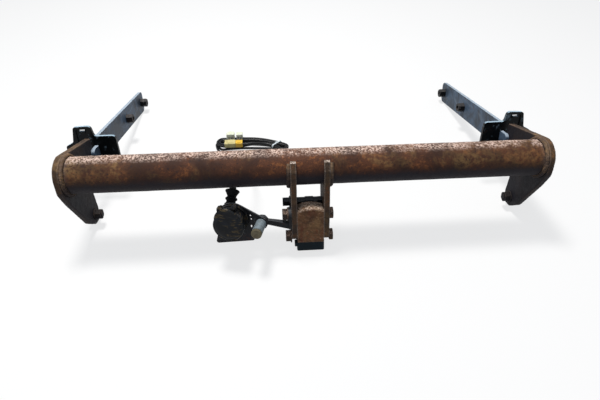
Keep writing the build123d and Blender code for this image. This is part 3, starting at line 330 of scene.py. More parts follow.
@dataclass(frozen=True)
class Rust:
    """Old steel: rust of several ages, mud, pale speckled scale with a painted highlight on top, and painted
    shade underneath.
    """

    name: str
    deep: Tone
    middle: Tone
    bright: Tone
    mud: Tone = tone(112, 90, 56)
    # The colour below is the pale speckled scale, used also on raised edges; on faces that lean up toward the
    # light it also paints a highlight.
    pale: Tone = tone(188, 162, 146)
    # The colour below darkens the pits, and paints the shade on undersides and, through side_shade, on faces
    # that face along X.
    shade: Tone = tone(22, 22, 29)
    mud_share: float = 0.5
    end_mud: float = 0.0
    streak_share: float = 0.0
    pale_share: float = 0.6
    pale_from: float = 0.9
    pale_to: float = 1.0
    shade_share: float = 0.85
    # The share below paints shade on faces that face along X, most of all low down.
    side_shade: float = 0.0
    # The angle below tips the painted highlight toward the light from behind the bar.
    light_lean: float = 0.0
    streak: Tone = tone(104, 54, 36)
    pale_lift: float = 0.08
    under_from: float = 0.52
    under_to: float = -0.08
    side_from: float = 0.19
    side_to: float = 0.13
    ends_from: float = 0.30
    ends_to: float = 0.47
    grain: float = 1.0
    depth: float = 0.7 * MM
    sheen: float = 0.18

    def make(self) -> bpy.types.Material:
        """Build the material.

        Returns:
            The material.
        """
        finish = Finish(self.name)
        size = self.grain
        broad = finish.noise(17 * size, 6, 0.5)
        small = finish.noise(120 * size, 6, 0.2)
        fine = finish.noise(560 * size, 3)
        dots = finish.noise(250 * size, 5)
        colour = finish.mix(finish.band(broad, 0.36, 0.64), self.deep, self.middle)
        bloom = finish.times(finish.band(small, 0.5, 0.64), finish.band(broad, 0.44, 0.6))
        colour = finish.mix(bloom, colour, self.bright)
        mottle = finish.times(finish.band(fine, 0.56, 0.4), 0.5)
        colour = finish.mix(mottle, colour, self.deep)
        if self.streak_share:
            runs = finish.band(finish.streaks(46, (1.0, 1.0, 0.14)), 0.54, 0.66)
            colour = finish.mix(finish.times(runs, self.streak_share), colour, self.streak)
        mud = finish.band(finish.noise(9 * size, 5, 0.8), 0.5, 0.66)
        if self.end_mud:
            mud = finish.plus(mud, finish.times(self.toward_ends(finish), self.end_mud))
        mud = finish.times(mud, finish.band(small, 0.36, 0.56))
        colour = finish.mix(finish.times(mud, self.mud_share), colour, self.mud)
        pits = finish.times(finish.band(dots, 0.42, 0.33), 0.8)
        colour = finish.mix(pits, colour, self.shade)
        # Pale speckled scale, with a painted highlight on faces that lean up toward the light.
        speckle = finish.plus(finish.times(finish.band(dots, 0.47, 0.55), 0.85), 0.1)
        patches = finish.band(finish.noise(34 * size, 5, 0.4), 0.3, 0.55)
        lean = math.radians(self.light_lean)
        leaning = finish.facing((0.0, math.sin(lean), math.cos(lean)))
        raised = finish.plus(leaning, finish.times(small, 0.16))
        lit_crown = finish.band(raised, self.pale_from + self.pale_lift, self.pale_to + self.pale_lift)
        top = finish.times(lit_crown, finish.times(speckle, patches))
        colour = finish.mix(finish.times(top, self.pale_share), colour, self.pale)
        crest = finish.times(finish.crests(), 0.5 * self.pale_share)
        colour = finish.mix(crest, colour, self.pale)
        # Painted shade: faces that look down are darkened toward the shade colour.
        under = finish.times(finish.band(finish.upward(), self.under_from, self.under_to), self.shade_share)
        colour = finish.mix(under, colour, self.shade)
        # Painted shade: faces that face along X, most of all those low down below the tube, are darkened.
        if self.side_shade:
            flat = finish.times(finish.band(finish.sideways(), 0.7, 0.97), self.side_shade)
            low = finish.band(finish.part(finish.place, "Z"), self.side_from, self.side_to)
            flat = finish.times(flat, finish.plus(finish.times(low, 0.75), 0.2))
            colour = finish.mix(flat, colour, self.shade)
        height = finish.plus(finish.times(small, 0.65), finish.times(fine, 0.35))
        finish.relief(height, self.depth)
        finish.surface.inputs[SPECULAR].default_value = self.sheen
        rough = finish.plus(finish.times(small, 0.3), 0.55)
        return finish.done(colour, rough)

    def toward_ends(self, finish: Finish) -> bpy.types.NodeSocket:
        """Mask that grows toward the two ends of the bar."""
        along = finish.size_of(finish.part(finish.place, "X"))
        return finish.band(along, self.ends_from, self.ends_to)


@dataclass(frozen=True)
class Paint:
    """Old dark paint on plate, with chips of rust, scuffs, and a pale dusting with a painted highlight on the
    faces that look up.
    """

    name: str
    colour: Tone
    second: Tone
    rust: Tone = tone(92, 56, 38)
    # The colour below is a pale dusting on scuffs and upward faces; on upward faces it also paints a
    # highlight.
    dust_and_highlight: Tone = tone(120, 112, 104)
    rust_share: float = 0.3
    dust_and_highlight_share: float = 0.25
    gloss: float = 0.35
    depth: float = 0.3 * MM
    sheen: float = 0.25

    def make(self) -> bpy.types.Material:
        """Build the material.

        Returns:
            The material.
        """
        finish = Finish(self.name)
        broad = finish.noise(14, 5, 0.5)
        small = finish.noise(170, 5, 0.4)
        colour = finish.mix(finish.band(broad, 0.38, 0.62), self.colour, self.second)
        chips = finish.times(finish.band(small, 0.5, 0.6), finish.band(broad, 0.5, 0.64))
        colour = finish.mix(finish.times(chips, self.rust_share), colour, self.rust)
        scuffs = finish.band(finish.streaks(90, (1.0, 0.12, 1.0)), 0.58, 0.7)
        colour = finish.mix(finish.times(scuffs, 0.22), colour, self.dust_and_highlight)
        # A pale dusting, with a painted highlight, on faces that look up.
        dusty_and_lit = finish.times(finish.band(finish.upward(), 0.5, 0.95),
                             finish.plus(finish.band(small, 0.3, 0.6), 0.5))
        colour = finish.mix(finish.times(dusty_and_lit, self.dust_and_highlight_share), colour, self.dust_and_highlight)
        finish.relief(finish.plus(finish.times(small, 0.6), finish.times(chips, 0.4)), self.depth)
        finish.surface.inputs[SPECULAR].default_value = self.sheen
        rough = finish.plus(finish.times(broad, 0.3), self.gloss - 0.12)
        return finish.done(colour, rough)


@dataclass(frozen=True)
class Moulding:
    """Plastic or rubber: fine grain, pale scuffs, and golden-brown scratches where it is muddy."""

    name: str
    colour: Tone
    scuff: Tone = tone(84, 86, 92)
    mud: Tone = tone(122, 104, 66)
    scuff_share: float = 0.2
    mud_share: float = 0.0
    gloss: float = 0.45
    grain: float = 900.0
    depth: float = 0.12 * MM
    coat: float = 0.0
    sheen: float = 0.2

    def make(self) -> bpy.types.Material:
        """Build the material.

        Returns:
            The material.
        """
        finish = Finish(self.name)
        grain = finish.noise(self.grain, 3)
        broad = finish.noise(38, 5, 0.6)
        scratches = finish.band(finish.streaks(60, (1.0, 1.0, 5.0), (0.0, 24.0, 0.0)), 0.53, 0.62)
        colour = finish.mix(finish.times(finish.band(broad, 0.48, 0.7), self.scuff_share),
                            self.colour, self.scuff)
        smear = finish.times(scratches, finish.band(broad, 0.42, 0.54))
        colour = finish.mix(finish.times(smear, self.mud_share), colour, self.mud)
        finish.relief(grain, self.depth)
        finish.surface.inputs[SPECULAR].default_value = self.sheen
        finish.surface.inputs["Coat Weight"].default_value = self.coat
        rough = finish.plus(finish.times(broad, 0.25), self.gloss - 0.1)
        return finish.done(colour, rough)


@dataclass(frozen=True)
class Metal:
    """Bare or plated metal with a tarnish."""

    name: str
    colour: Tone
    tarnish: Tone
    share: float = 0.4
    rough: float = 0.35
    metallic: float = 0.85
    depth: float = 0.08 * MM

    def make(self) -> bpy.types.Material:
        """Build the material.

        Returns:
            The material.
        """
        finish = Finish(self.name)
        cloud = finish.noise(120, 5, 0.5)
        fine = finish.noise(900, 2)
        spots = finish.times(finish.band(cloud, 0.45, 0.65), self.share)
        colour = finish.mix(spots, self.colour, self.tarnish)
        finish.relief(fine, self.depth)
        rough = finish.plus(finish.times(cloud, 0.35), self.rough - 0.15)
        return finish.done(colour, rough, self.metallic)


@dataclass(frozen=True)
class ClearMoulding:
    """Milky see-through plastic."""

    name: str
    colour: Tone
    cloud: Tone = tone(250, 252, 244)
    depth: float = 0.06 * MM
    clearness: float = 0.12
    bending: float = 1.45

    def make(self) -> bpy.types.Material:
        """Build the material.

        Returns:
            The material.
        """
        finish = Finish(self.name)
        cloud = finish.noise(160, 3)
        colour = finish.mix(finish.band(cloud, 0.4, 0.7), self.colour, self.cloud)
        finish.relief(cloud, self.depth)
        finish.surface.inputs["Transmission Weight"].default_value = self.clearness
        finish.surface.inputs["IOR"].default_value = self.bending
        rough = finish.plus(finish.times(cloud, 0.2), 0.12)
        return finish.done(colour, rough)


@dataclass
class Finishes:
    """Every finish of the bar, built once and looked up by name."""

    made: dict[str, bpy.types.Material] = field(default_factory=dict)

    def build(self) -> None:
        """Build the finishes."""
        recipes = [
            Rust("tube_rust", tone(50, 30, 22), tone(88, 53, 35), tone(128, 80, 48), mud=tone(130, 102, 66),
                 mud_share=0.6, end_mud=0.4, pale=tone(222, 196, 182), pale_share=1.0, pale_from=0.6,
                 pale_to=0.92, light_lean=30.0, shade_share=0.95),
            Rust("end_rust", tone(46, 36, 29), tone(90, 68, 46), tone(122, 86, 54), mud=tone(132, 104, 68),
                 mud_share=0.8, pale_share=0.7, shade_share=0.85, side_shade=0.8),
            Rust("weld_rust", tone(58, 42, 30), tone(106, 80, 50), tone(136, 98, 58), mud=tone(134, 106, 68),
                 mud_share=0.6, pale_share=0.7, grain=1.6),
            Rust("neck_rust", tone(52, 40, 31), tone(94, 71, 50), tone(122, 78, 50), mud=tone(126, 100, 66),
                 mud_share=0.6, pale=tone(222, 204, 190), pale_share=1.0, pale_from=0.6, pale_to=0.95,
                 shade_share=0.5, grain=1.3),
            Rust("housing_rust", tone(84, 58, 40), tone(134, 98, 66), tone(150, 92, 56),
                 mud=tone(160, 128, 86), mud_share=0.6, streak_share=0.7, pale=tone(222, 200, 180),
                 pale_share=1.0, pale_from=0.25, pale_to=0.7, shade_share=0.35, grain=1.8, depth=MM),
            Rust("fastener_rust", tone(44, 36, 30), tone(82, 62, 46), tone(110, 74, 50), pale_share=0.6,
                 pale_from=0.5, pale_to=0.95, shade_share=0.6, grain=2.0),
            Rust("tongue_rust", tone(17, 17, 20), tone(32, 29, 29), tone(58, 46, 38), mud_share=0.25,
                 pale_share=0.25, grain=2.0),
            # The pale blues on the arms' and flanges' upward faces are painted highlights.
            Paint("arm_paint", tone(44, 53, 65), tone(88, 108, 130), rust=tone(84, 60, 46), rust_share=0.9,
                  dust_and_highlight=tone(172, 186, 200), dust_and_highlight_share=0.85, gloss=0.5),
            Paint("flange_paint", tone(6, 9, 11), tone(12, 16, 19), rust_share=0.12,
                  dust_and_highlight=tone(170, 196, 214), dust_and_highlight_share=0.9, gloss=0.3, sheen=0.12),
            Paint("nut_black", tone(10, 11, 14), tone(19, 18, 21), rust_share=0.2, dust_and_highlight=tone(176, 172, 170),
                  dust_and_highlight_share=0.1, gloss=0.4, sheen=0.15),
            Paint("black_steel", tone(10, 11, 15), tone(22, 23, 28), rust_share=0.3, dust_and_highlight=tone(106, 108, 112),
                  dust_and_highlight_share=0.45, gloss=0.4, sheen=0.15),
            Metal("zinc", tone(132, 146, 154), tone(96, 96, 90), share=0.5, rough=0.5, metallic=0.35),
            Metal("olive_zinc", tone(96, 88, 66), tone(62, 54, 40), share=0.6, rough=0.6, metallic=0.2),
            Metal("liner_steel", tone(150, 150, 148), tone(90, 82, 74), share=0.5, rough=0.35),
            Metal("contact_brass", tone(206, 178, 112), tone(140, 112, 70), rough=0.3),
            Moulding("black_plastic", tone(11, 12, 15), gloss=0.45, mud_share=0.2, sheen=0.1),
            Moulding("lid_plastic", tone(11, 14, 18), scuff=tone(30, 36, 46), scuff_share=0.5,
                     mud=tone(108, 92, 62), mud_share=0.5, gloss=0.34, sheen=0.14),
            Moulding("teal_plastic", tone(7, 19, 25), scuff=tone(22, 40, 48), gloss=0.5, scuff_share=0.35,
                     sheen=0.1),
            Moulding("black_rubber", tone(9, 10, 13), scuff=tone(34, 36, 40), gloss=0.6, depth=0.2 * MM,
                     sheen=0.08),
            Moulding("loom_sheath", tone(6, 7, 10), scuff=tone(50, 54, 62), scuff_share=0.12, gloss=0.3,
                     sheen=0.22),
            Moulding("wire_sheath", tone(60, 34, 22), scuff=tone(30, 40, 80), scuff_share=0.9, gloss=0.3,
                     grain=300),
            Moulding("tie_plastic", tone(206, 214, 218), scuff=tone(150, 158, 162), gloss=0.4),
            Moulding("cream_plastic", tone(208, 196, 138), scuff=tone(160, 146, 92), scuff_share=0.6,
                     gloss=0.4, grain=500),
            Moulding("yellow_plastic", tone(228, 184, 62), scuff=tone(236, 220, 160), scuff_share=0.7,
                     gloss=0.4, grain=500),
            ClearMoulding("clear_plastic", tone(232, 236, 206)),
        ]
        for recipe in recipes:
            self.made[recipe.name] = recipe.make()

    def get(self, name: str) -> bpy.types.Material:
        """Return a finish by its name."""
        return self.made[name]


@contextmanager
def editing(piece: bpy.types.Object, kind: str = "VERT") -> Iterator[bmesh.types.BMesh]:
    """Edit a piece's mesh with all of it selected.

    Args:
        piece: The piece.
        kind: What the selection works on: VERT, EDGE or FACE.

    Yields:
        The mesh in edit mode.
    """
    only(piece)
    bpy.ops.object.mode_set(mode="EDIT")
    bpy.ops.mesh.select_mode(type=kind)
    bpy.ops.mesh.select_all(action="SELECT")
    yield bmesh.from_edit_mesh(piece.data)
    bpy.ops.object.mode_set(mode="OBJECT")


def only(piece: bpy.types.Object) -> None:
    """Make a piece the one that is selected and active."""
    bpy.ops.object.select_all(action="DESELECT")
    piece.select_set(True)
    bpy.context.view_layer.objects.active = piece


def pick(mesh: bmesh.types.BMesh, items: list) -> None:
    """Select these parts of a mesh in edit mode, and nothing else."""
    bpy.ops.mesh.select_all(action="DESELECT")
    for item in items:
        item.select_set(True)
    mesh.select_flush_mode()


def modify(piece: bpy.types.Object, kind: str, **settings: object) -> None:
    """Add a modifier and apply it.

    Args:
        piece: The piece.
        kind: The modifier's type.
        **settings: Properties of the modifier.
    """
    only(piece)
    modifier = piece.modifiers.new(kind.lower(), kind)
    for key, value in settings.items():
        setattr(modifier, key, value)
    bpy.ops.object.modifier_apply(modifier=modifier.name)


def cloud(size: float, depth: int = 2) -> bpy.types.Texture:
    """Cloud pattern for a displacement.

    Args:
        size: Size of its features in metres.
        depth: Octaves.

    Returns:
        The texture.
    """
    made = bpy.data.textures.new(f"cloud_{size * 1000:.1f}", "CLOUDS")
    made.noise_scale = size
    made.noise_depth = depth
    return made


def roughen(piece: bpy.types.Object, size: float, height: float) -> None:
    """Push a piece's surface in and out in a cloud pattern.

    Args:
        piece: The piece.
        size: Size of the lumps in metres.
        height: Height between the lowest and the highest in metres.
    """
    modify(piece, "DISPLACE", texture=cloud(size), strength=height, mid_level=0.5, texture_coords="LOCAL")


def smooth(piece: bpy.types.Object, angle: float = 35.0) -> None:
    """Shade a piece smooth, with edges sharper than an angle in degrees kept crisp."""
    only(piece)
    bpy.ops.object.shade_smooth_by_angle(angle=math.radians(angle))


def joined(first: bpy.types.Object, others: list[bpy.types.Object]) -> bpy.types.Object:
    """Join pieces into the first of them."""
    only(first)
    for piece in others:
        piece.select_set(True)
    bpy.ops.object.join()
    return first


def dress(piece: bpy.types.Object, finish: bpy.types.Material, slot: str, body: Body,
          *nodes: str) -> bpy.types.Object:
    """Give a finished piece its material and its body, and hide the nodes that it stands for.

    Args:
        piece: The piece, with its object at the origin.
        finish: Its material.
        slot: The record's material slot; not used.
        body: The body that it rides on.
        *nodes: The nodes that it stands for.

    Returns:
        The piece.
    """
    piece.data.materials.clear()
    piece.data.materials.append(finish)
    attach(piece, body.value)
    if nodes:
        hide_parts(*nodes)
    LOG.info("%s: %d faces on %s", piece.name, len(piece.data.polygons), body.value)
    return piece


def settle(piece: bpy.types.Object, name: str, place: Matrix | None = None) -> bpy.types.Object:
    """Name a piece, put its place into its mesh and turn its faces outward.

    Args:
        piece: The piece.
        name: Its name.
        place: Where it goes, from its own frame to the bar's.

    Returns:
        The piece.
    """
    piece.name = name
    piece.data.name = name
    bpy.context.view_layer.update()
    whole = piece.matrix_world.copy() if place is None else place @ piece.matrix_world
    piece.data.transform(whole)
    piece.matrix_world = Matrix.Identity(4)
    with editing(piece):
        bpy.ops.mesh.remove_doubles(threshold=MERGE_WITHIN)
        bpy.ops.mesh.normals_make_consistent(inside=False)
    return piece


def turned(name: str, stations: list[tuple[float, float]], sides: int = 64,
           ring: bool = False) -> bpy.types.Object:
    """Turn a piece about Z by drawing a disc, or a bare ring, out from station to station.

    Args:
        name: The piece's name.
        stations: Radius and height of each station in metres.
        sides: Faces round the piece.
        ring: Whether it is a ring, whose stations go round its section.

    Returns:
        The piece, still in its own frame.
    """
    radius, height = stations[0]
    route = stations[1:] + stations[:1] if ring else stations[1:]
    bpy.ops.object.select_all(action="DESELECT")
    bpy.ops.mesh.primitive_circle_add(vertices=sides, radius=radius, fill_type="NOTHING" if ring else "NGON",
                                      location=(0, 0, height))
    piece = bpy.context.active_object
    with editing(piece, "EDGE" if ring else "FACE"):
        for next_radius, next_height in route:
            step = {"value": (0, 0, next_height - height)}
            bpy.ops.mesh.extrude_region_move(TRANSFORM_OT_translate=step)
            share = next_radius / radius
            bpy.ops.transform.resize(value=(share, share, 1), center_override=(0, 0, next_height))
            radius, height = next_radius, next_height
    return settle(piece, name)


def slab(name: str, low: Vector, high: Vector, bevel: float, cuts: int = 0) -> bpy.types.Object:
    """Block between two corners with rounded edges.

    Args:
        name: The piece's name.
        low: Lowest corner.
        high: Highest corner.
        bevel: Radius of the edges.
        cuts: Extra cuts across each face.

    Returns:
        The piece.
    """
    bpy.ops.object.select_all(action="DESELECT")
    bpy.ops.mesh.primitive_cube_add(size=1, location=(low + high) / 2)
    piece = bpy.context.active_object
    piece.scale = high - low
    settle(piece, name)
    with editing(piece, "EDGE"):
        bpy.ops.mesh.bevel(offset=bevel, segments=3)
        if cuts:
            bpy.ops.mesh.subdivide(number_cuts=cuts)
    return piece


def copy_of(node: str, name: str) -> bpy.types.Object:
    """New piece with a merged copy of a node's mesh.

    Args:
        node: The node.
        name: The new piece's name.

    Returns:
        The piece, on no body yet.
    """
    source = bpy.data.objects[node]
    piece = bpy.data.objects.new(name, source.data.copy())
    piece.data.name = name
    bpy.context.scene.collection.objects.link(piece)
    with editing(piece):
        bpy.ops.mesh.customdata_custom_splitnormals_clear()
        bpy.ops.mesh.remove_doubles(threshold=COPY_MERGE_WITHIN)
    return piece


def soft_copy(node: str, name: str, edge: float) -> bpy.types.Object:
    """New piece with a copy of a node's mesh whose sharp edges are rounded.

    Args:
        node: The node.
        name: The new piece's name.
        edge: Width of the rounding.

    Returns:
        The piece, on no body yet.
    """
    piece = copy_of(node, name)
    with editing(piece, "EDGE"):
        bpy.ops.mesh.dissolve_limited(angle_limit=FLAT_WITHIN)
    modify(piece, "BEVEL", width=edge, segments=2, limit_method="ANGLE", angle_limit=SHARP_FROM,
           use_clamp_overlap=True)
    return piece


@dataclass(frozen=True)
class WeatheredSkin:
    """Rusted skin over a node: softened corners, broad waviness and pitting."""

    node: str
    finish: str
    slot: str
    voxel: float = 1.2 * MM
    lumps: float = 0.5 * MM
    pits: float = 0.35 * MM
    pit_size: float = 3.0 * MM
    lump_size: float = 12 * MM

    def build(self, finishes: Finishes) -> bpy.types.Object:
        """Build the skin.

        Args:
            finishes: Every finish.

        Returns:
            The skin.
        """
        piece = copy_of(self.node, self.node + "_skin")
        modify(piece, "REMESH", mode="VOXEL", voxel_size=self.voxel)
        modify(piece, "SMOOTH", factor=0.5, iterations=2)
        roughen(piece, self.lump_size, self.lumps)
        roughen(piece, self.pit_size, self.pits)
        smooth(piece, 60)
        return dress(piece, finishes.get(self.finish), self.slot, Body.BAR, self.node)


@dataclass(frozen=True)
class SoftenedPart:
    """Plate or bolt with its shape kept and its sharp edges rounded off."""

    node: str
    finish: str
    slot: str
    body: Body = Body.BAR
    edge: float = 0.6 * MM

    def build(self, finishes: Finishes) -> bpy.types.Object:
        """Build the piece.

        Args:
            finishes: Every finish.

        Returns:
            The piece.
        """
        piece = soft_copy(self.node, self.node + "_soft", self.edge)
        smooth(piece, 30)
        modify(piece, "WEIGHTED_NORMAL", keep_sharp=True)
        return dress(piece, finishes.get(self.finish), self.slot, self.body, self.node)


def joint(joints: list[dict], name: str) -> dict:
    """Return a packed joint by its name."""
    return next(entry for entry in joints if entry["name"] == name)


@dataclass(frozen=True)
class BarFrame:
    """The bar's own axes in its resting pose: X along the tube, Y along the arms, Z up as fitted."""

    origin: Vector
    tilt: float

    @classmethod
    def read(cls, joints: list[dict]) -> BarFrame:
        """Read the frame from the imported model.

        Args:
            joints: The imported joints.

        Returns:
            The frame.
        """
        low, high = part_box("cross_tube")
        axis = joint(joints, "plug_slide")["axis"]
        return cls((low + high) / 2, math.atan2(-axis[1], -axis[2]))

    def matrix(self) -> Matrix:
        """Matrix from the bar's own frame to the resting frame."""
        return Matrix.Translation(self.origin) @ Matrix.Rotation(-self.tilt, 4, "X")


@dataclass
class CrossTube:
    """The round tube, with a wavy, scaly surface."""

    frame: BarFrame
    radius: float = 38.05 * MM
    half_length: float = 488 * MM
    sides: int = 120
    rings: int = 360
    waves: tuple[float, float] = (40 * MM, 0.6 * MM)
    scale: tuple[float, float] = (9 * MM, 0.3 * MM)

    def build(self, finishes: Finishes) -> bpy.types.Object:
        """Build the tube.

        Args:
            finishes: Every finish.

        Returns:
            The tube.
        """
        bpy.ops.object.select_all(action="DESELECT")
        bpy.ops.mesh.primitive_cylinder_add(
            vertices=self.sides, radius=self.radius, depth=2 * self.half_length,
            rotation=(0, math.radians(90), 0))
        piece = settle(bpy.context.active_object, "cross_tube_skin", self.frame.matrix())
        with editing(piece, "EDGE") as mesh:
            long = [e for e in mesh.edges if abs(e.verts[0].co.x - e.verts[1].co.x) > self.half_length]
            pick(mesh, long)
            bpy.ops.mesh.subdivide(number_cuts=self.rings)
        roughen(piece, *self.waves)
        roughen(piece, *self.scale)
        smooth(piece, 50)
        return dress(piece, finishes.get("tube_rust"), "tube_rust", Body.BAR, "cross_tube")


@dataclass
class WeldBeads:
    """Rippled weld beads round the tube's ends and at the neck plates."""

    frame: BarFrame
    tube_radius: float = 38.05 * MM
    end_x: float = 488 * MM
    neck_x: float = 40 * MM
    ripple: float = 0.55 * MM
    end_inset: float = 3 * MM
    end_stand_off: float = 1.6 * MM
    end_bead: float = 4.9 * MM
    neck_outset: float = 3.2 * MM
    neck_stand_off: float = 1.2 * MM
    neck_bead: float = 5.0 * MM
    neck_from: float = -128
    neck_sweep: float = 160
    lumps: tuple[float, float] = (8 * MM, 1.7 * MM)
    scale: tuple[float, float] = (2.5 * MM, 0.6 * MM)
    round_sides: int = 14
    fewest_steps: int = 12
    degrees_a_step: float = 2

    def arc(self, name: str, x: float, radius: float, bead: float, start: float,
            sweep: float) -> bpy.types.Object:
        """Bead round a stretch of the tube.

        Args:
            name: The bead's name.
            x: Place of the bead's middle along the tube.
            radius: Distance of the bead's middle from the tube's axis.
            bead: Radius of the bead.
            start: Angle from the front, over the top, where it starts, in degrees.
            sweep: Angle that it covers, in degrees.

        Returns:
            The bead.
        """
        steps = max(self.fewest_steps, int(sweep / self.degrees_a_step))
        turn = Matrix.Rotation(math.radians(-start), 4, "X")
        bpy.ops.object.select_all(action="DESELECT")
        bpy.ops.mesh.primitive_circle_add(vertices=self.round_sides, radius=bead, fill_type="NGON")
        piece = bpy.context.active_object
        piece.data.transform(turn @ Matrix.Translation((x, -radius, 0)))
        with editing(piece, "FACE"):
            bpy.ops.mesh.spin(steps=steps, angle=math.radians(sweep), center=(0, 0, 0), axis=(1, 0, 0))
        settle(piece, name, self.frame.matrix())
        self.ripples(piece, radius * math.radians(sweep) / steps * 2, x)
        return piece

    def ripples(self, piece: bpy.types.Object, step: float, x: float) -> None:
        """Press a groove into every second ring of a bead, and roughen it.

        Args:
            piece: The bead.
            step: Distance between grooves.
            x: Place of the bead's middle along the tube.
        """
        to_bar = self.frame.matrix().inverted()
        with editing(piece) as mesh:
            grooves = []
            for vertex in mesh.verts:
                place = to_bar @ vertex.co
                along = math.atan2(place.z, -place.y) * self.tube_radius
                if round(2 * along / step) % 2:
                    grooves.append(vertex)
            pick(mesh, grooves)
            bpy.ops.transform.shrink_fatten(value=-self.ripple)
        roughen(piece, *self.lumps)
        roughen(piece, *self.scale)
        smooth(piece, 60)

    def build(self, finishes: Finishes) -> list[bpy.types.Object]:
        """Build every bead.

        Args:
            finishes: Every finish.

        Returns:
            The beads.
        """
        pieces = []
        finish = finishes.get("weld_rust")
        for side, sign in SIDES:
            end = self.arc(f"tube_end_bead_{side}", sign * (self.end_x - self.end_inset),
                           self.tube_radius + self.end_stand_off, self.end_bead, 0, 360)
            pieces.append(dress(end, finish, "weld_rust", Body.BAR, "tube_end_welds"))
            hook = self.arc(f"neck_bead_{side}", sign * (self.neck_x + self.neck_outset),
                            self.tube_radius + self.neck_stand_off, self.neck_bead, self.neck_from,
                            self.neck_sweep)
            pieces.append(dress(hook, finish, "weld_rust", Body.BAR, "neck_welds"))
        return pieces


@dataclass(frozen=True)
class SocketFrame:
    """The trailer socket's own axes: X along the lid's hinge, Y away from its mouth, Z up."""

    middle: Vector
    across: Vector
    back: Vector
    up: Vector

    @classmethod
    def read(cls, joints: list[dict], hinge_y: float, hinge_rise: float) -> SocketFrame:
        """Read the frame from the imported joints.

        Args:
            joints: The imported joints.
            hinge_y: The lid hinge's place along the socket.
            hinge_rise: The lid hinge's height above the socket's axis.

        Returns:
            The frame.
        """
        lid = joint(joints, "lid_hinge")
        across = -Vector(lid["axis"]).normalized()
        back = -Vector(joint(joints, "socket_swing")["axis"]).normalized()
        up = across.cross(back)
        return cls(Vector(lid["pos_m"]) - back * hinge_y - up * hinge_rise, across, back, up)

    def matrix(self) -> Matrix:
        """Matrix from the socket's own frame to the resting frame."""
        turn = Matrix((self.across, self.back, self.up)).transposed().to_4x4()
        return Matrix.Translation(self.middle) @ turn

    def turned_on_axis(self) -> Matrix:
        """Matrix for a piece turned about Z, whose heights run along the socket's Y."""
        return self.matrix() @ Matrix.Rotation(math.radians(-90), 4, "X")


@dataclass
class SocketLid:
    """The sprung lid: a shallow moulded cup with a raised rim, its knuckles and its thumb tab."""

    frame: SocketFrame
    radius: float = 32.5 * MM
    front: float = -41 * MM
    back: float = -27 * MM
    wall: float = 2.5 * MM
    face: float = 3.5 * MM
    hinge_y: float = -30 * MM
    hinge_rise: float = 36.8 * MM
    knuckle_radius: float = 4.2 * MM
    pin_hole: float = 1.9 * MM
    knuckle_from: float = 5.0 * MM
    knuckle_to: float = 11.8 * MM
    hood_middle: float = 13.8 * MM
    knuckle_edge: float = 0.7 * MM
    crown_mm: list[tuple[float, float]] = field(default_factory=lambda: [
        (0.6, 0), (8, 0.1), (15, 0.4), (20, 0.85), (24, 1.5), (27, 2.25), (28.2, 3.0), (29.0, 3.0),
        (29.6, 2.5), (30.6, 2.5), (31.6, 3.1), (32.3, 4.2), (32.5, 5.4),
    ])
    hood_mm: list[tuple[float, float]] = field(default_factory=lambda: [
        (0.3, 1.6), (24, 2.2), (26, 3.0), (27, 4.2), (27, 5.2), (0.3, 5.2),
    ])
    thumb_mm: tuple[Tone, Tone] = ((-9, 2.6, -2.6), (9, 6.5, 1.2))
    thumb_edge: float = 1.1 * MM

    def behind(self, stations_mm: list[tuple[float, float]]) -> list[tuple[float, float]]:
        """Stations in metres from radii and depths behind the lid's face in millimetres."""
        return [(radius * MM, self.front + depth * MM) for radius, depth in stations_mm]

    def cup(self) -> bpy.types.Object:
        """Build the cup: a slightly crowned face inside a groove and a rim, and a skirt."""
        r, b = self.radius, self.back
        inner, floor = r - self.wall, self.front + self.face
        stations = self.behind(self.crown_mm) + [
            (r, b - 1.8 * MM), (r - 0.3 * MM, b - 0.5 * MM), (r - 0.8 * MM, b), (inner + 0.4 * MM, b),
            (inner, b - 0.4 * MM), (inner, floor + 0.5 * MM), (inner - 0.5 * MM, floor), (0.6 * MM, floor),
        ]
        piece = turned("lid_cup", stations, 96)
        piece.data.transform(self.frame.turned_on_axis())
        smooth(piece, 40)
        return piece

    def hood(self) -> bpy.types.Object:
        """Build the hood: the face's egg-shaped top, which covers the hinge from the front."""
        piece = turned("lid_hood", self.behind(self.hood_mm))
        piece.data.transform(self.frame.turned_on_axis() @ Matrix.Translation((0, -self.hood_middle, 0)))
        smooth(piece, 40)
        return piece

    def knuckle(self, name: str, sign: int) -> bpy.types.Object:
        """Build one knuckle with its web down to the skirt.

        Args:
            name: The piece's name.
            sign: 1 on the right, -1 on the left.

        Returns:
            The knuckle.
        """
        low, high = sorted((sign * self.knuckle_from, sign * self.knuckle_to))
        out, hole, edge = self.knuckle_radius, self.pin_hole, self.knuckle_edge
        section = [(hole, low), (out - edge, low), (out, low + edge), (out, high - edge), (out - edge, high),
                   (hole, high)]
        ring = turned(name, section, 40, ring=True)
        hinge = Matrix.Translation((0, self.hinge_y, self.hinge_rise))
        ring.data.transform(hinge @ Matrix.Rotation(math.radians(90), 4, "Y"))
        web = slab(name + "_web", Vector((low, self.hinge_y - out + 0.5 * MM, self.radius - 1.6 * MM)),
                   Vector((high, self.hinge_y + 2.4 * MM, self.hinge_rise - hole - 0.4 * MM)), edge)
        joined(ring, [web])
        ring.data.transform(self.frame.matrix())
        smooth(ring, 40)
        return ring

    def build(self, finishes: Finishes) -> list[bpy.types.Object]:
        """Build the lid's pieces.

        Args:
            finishes: Every finish.

        Returns:
            The pieces.
        """
        finish = finishes.get("lid_plastic")
        pieces = [dress(self.cup(), finish, "black_plastic", Body.LID, "socket_lid")]
        for side, sign in SIDES:
            pieces.append(dress(self.knuckle(f"lid_knuckle_{side}", sign), finish, "black_plastic", Body.LID))
        pieces.append(dress(self.hood(), finish, "black_plastic", Body.LID))
        corner = Vector((0, self.front, -self.radius))
        low, high = (corner + Vector(place) * MM for place in self.thumb_mm)
        thumb = slab("lid_thumb_tab", low, high, self.thumb_edge)
        thumb.data.transform(self.frame.matrix())
        smooth(thumb)
        pieces.append(dress(thumb, finish, "black_plastic", Body.LID))
        return pieces


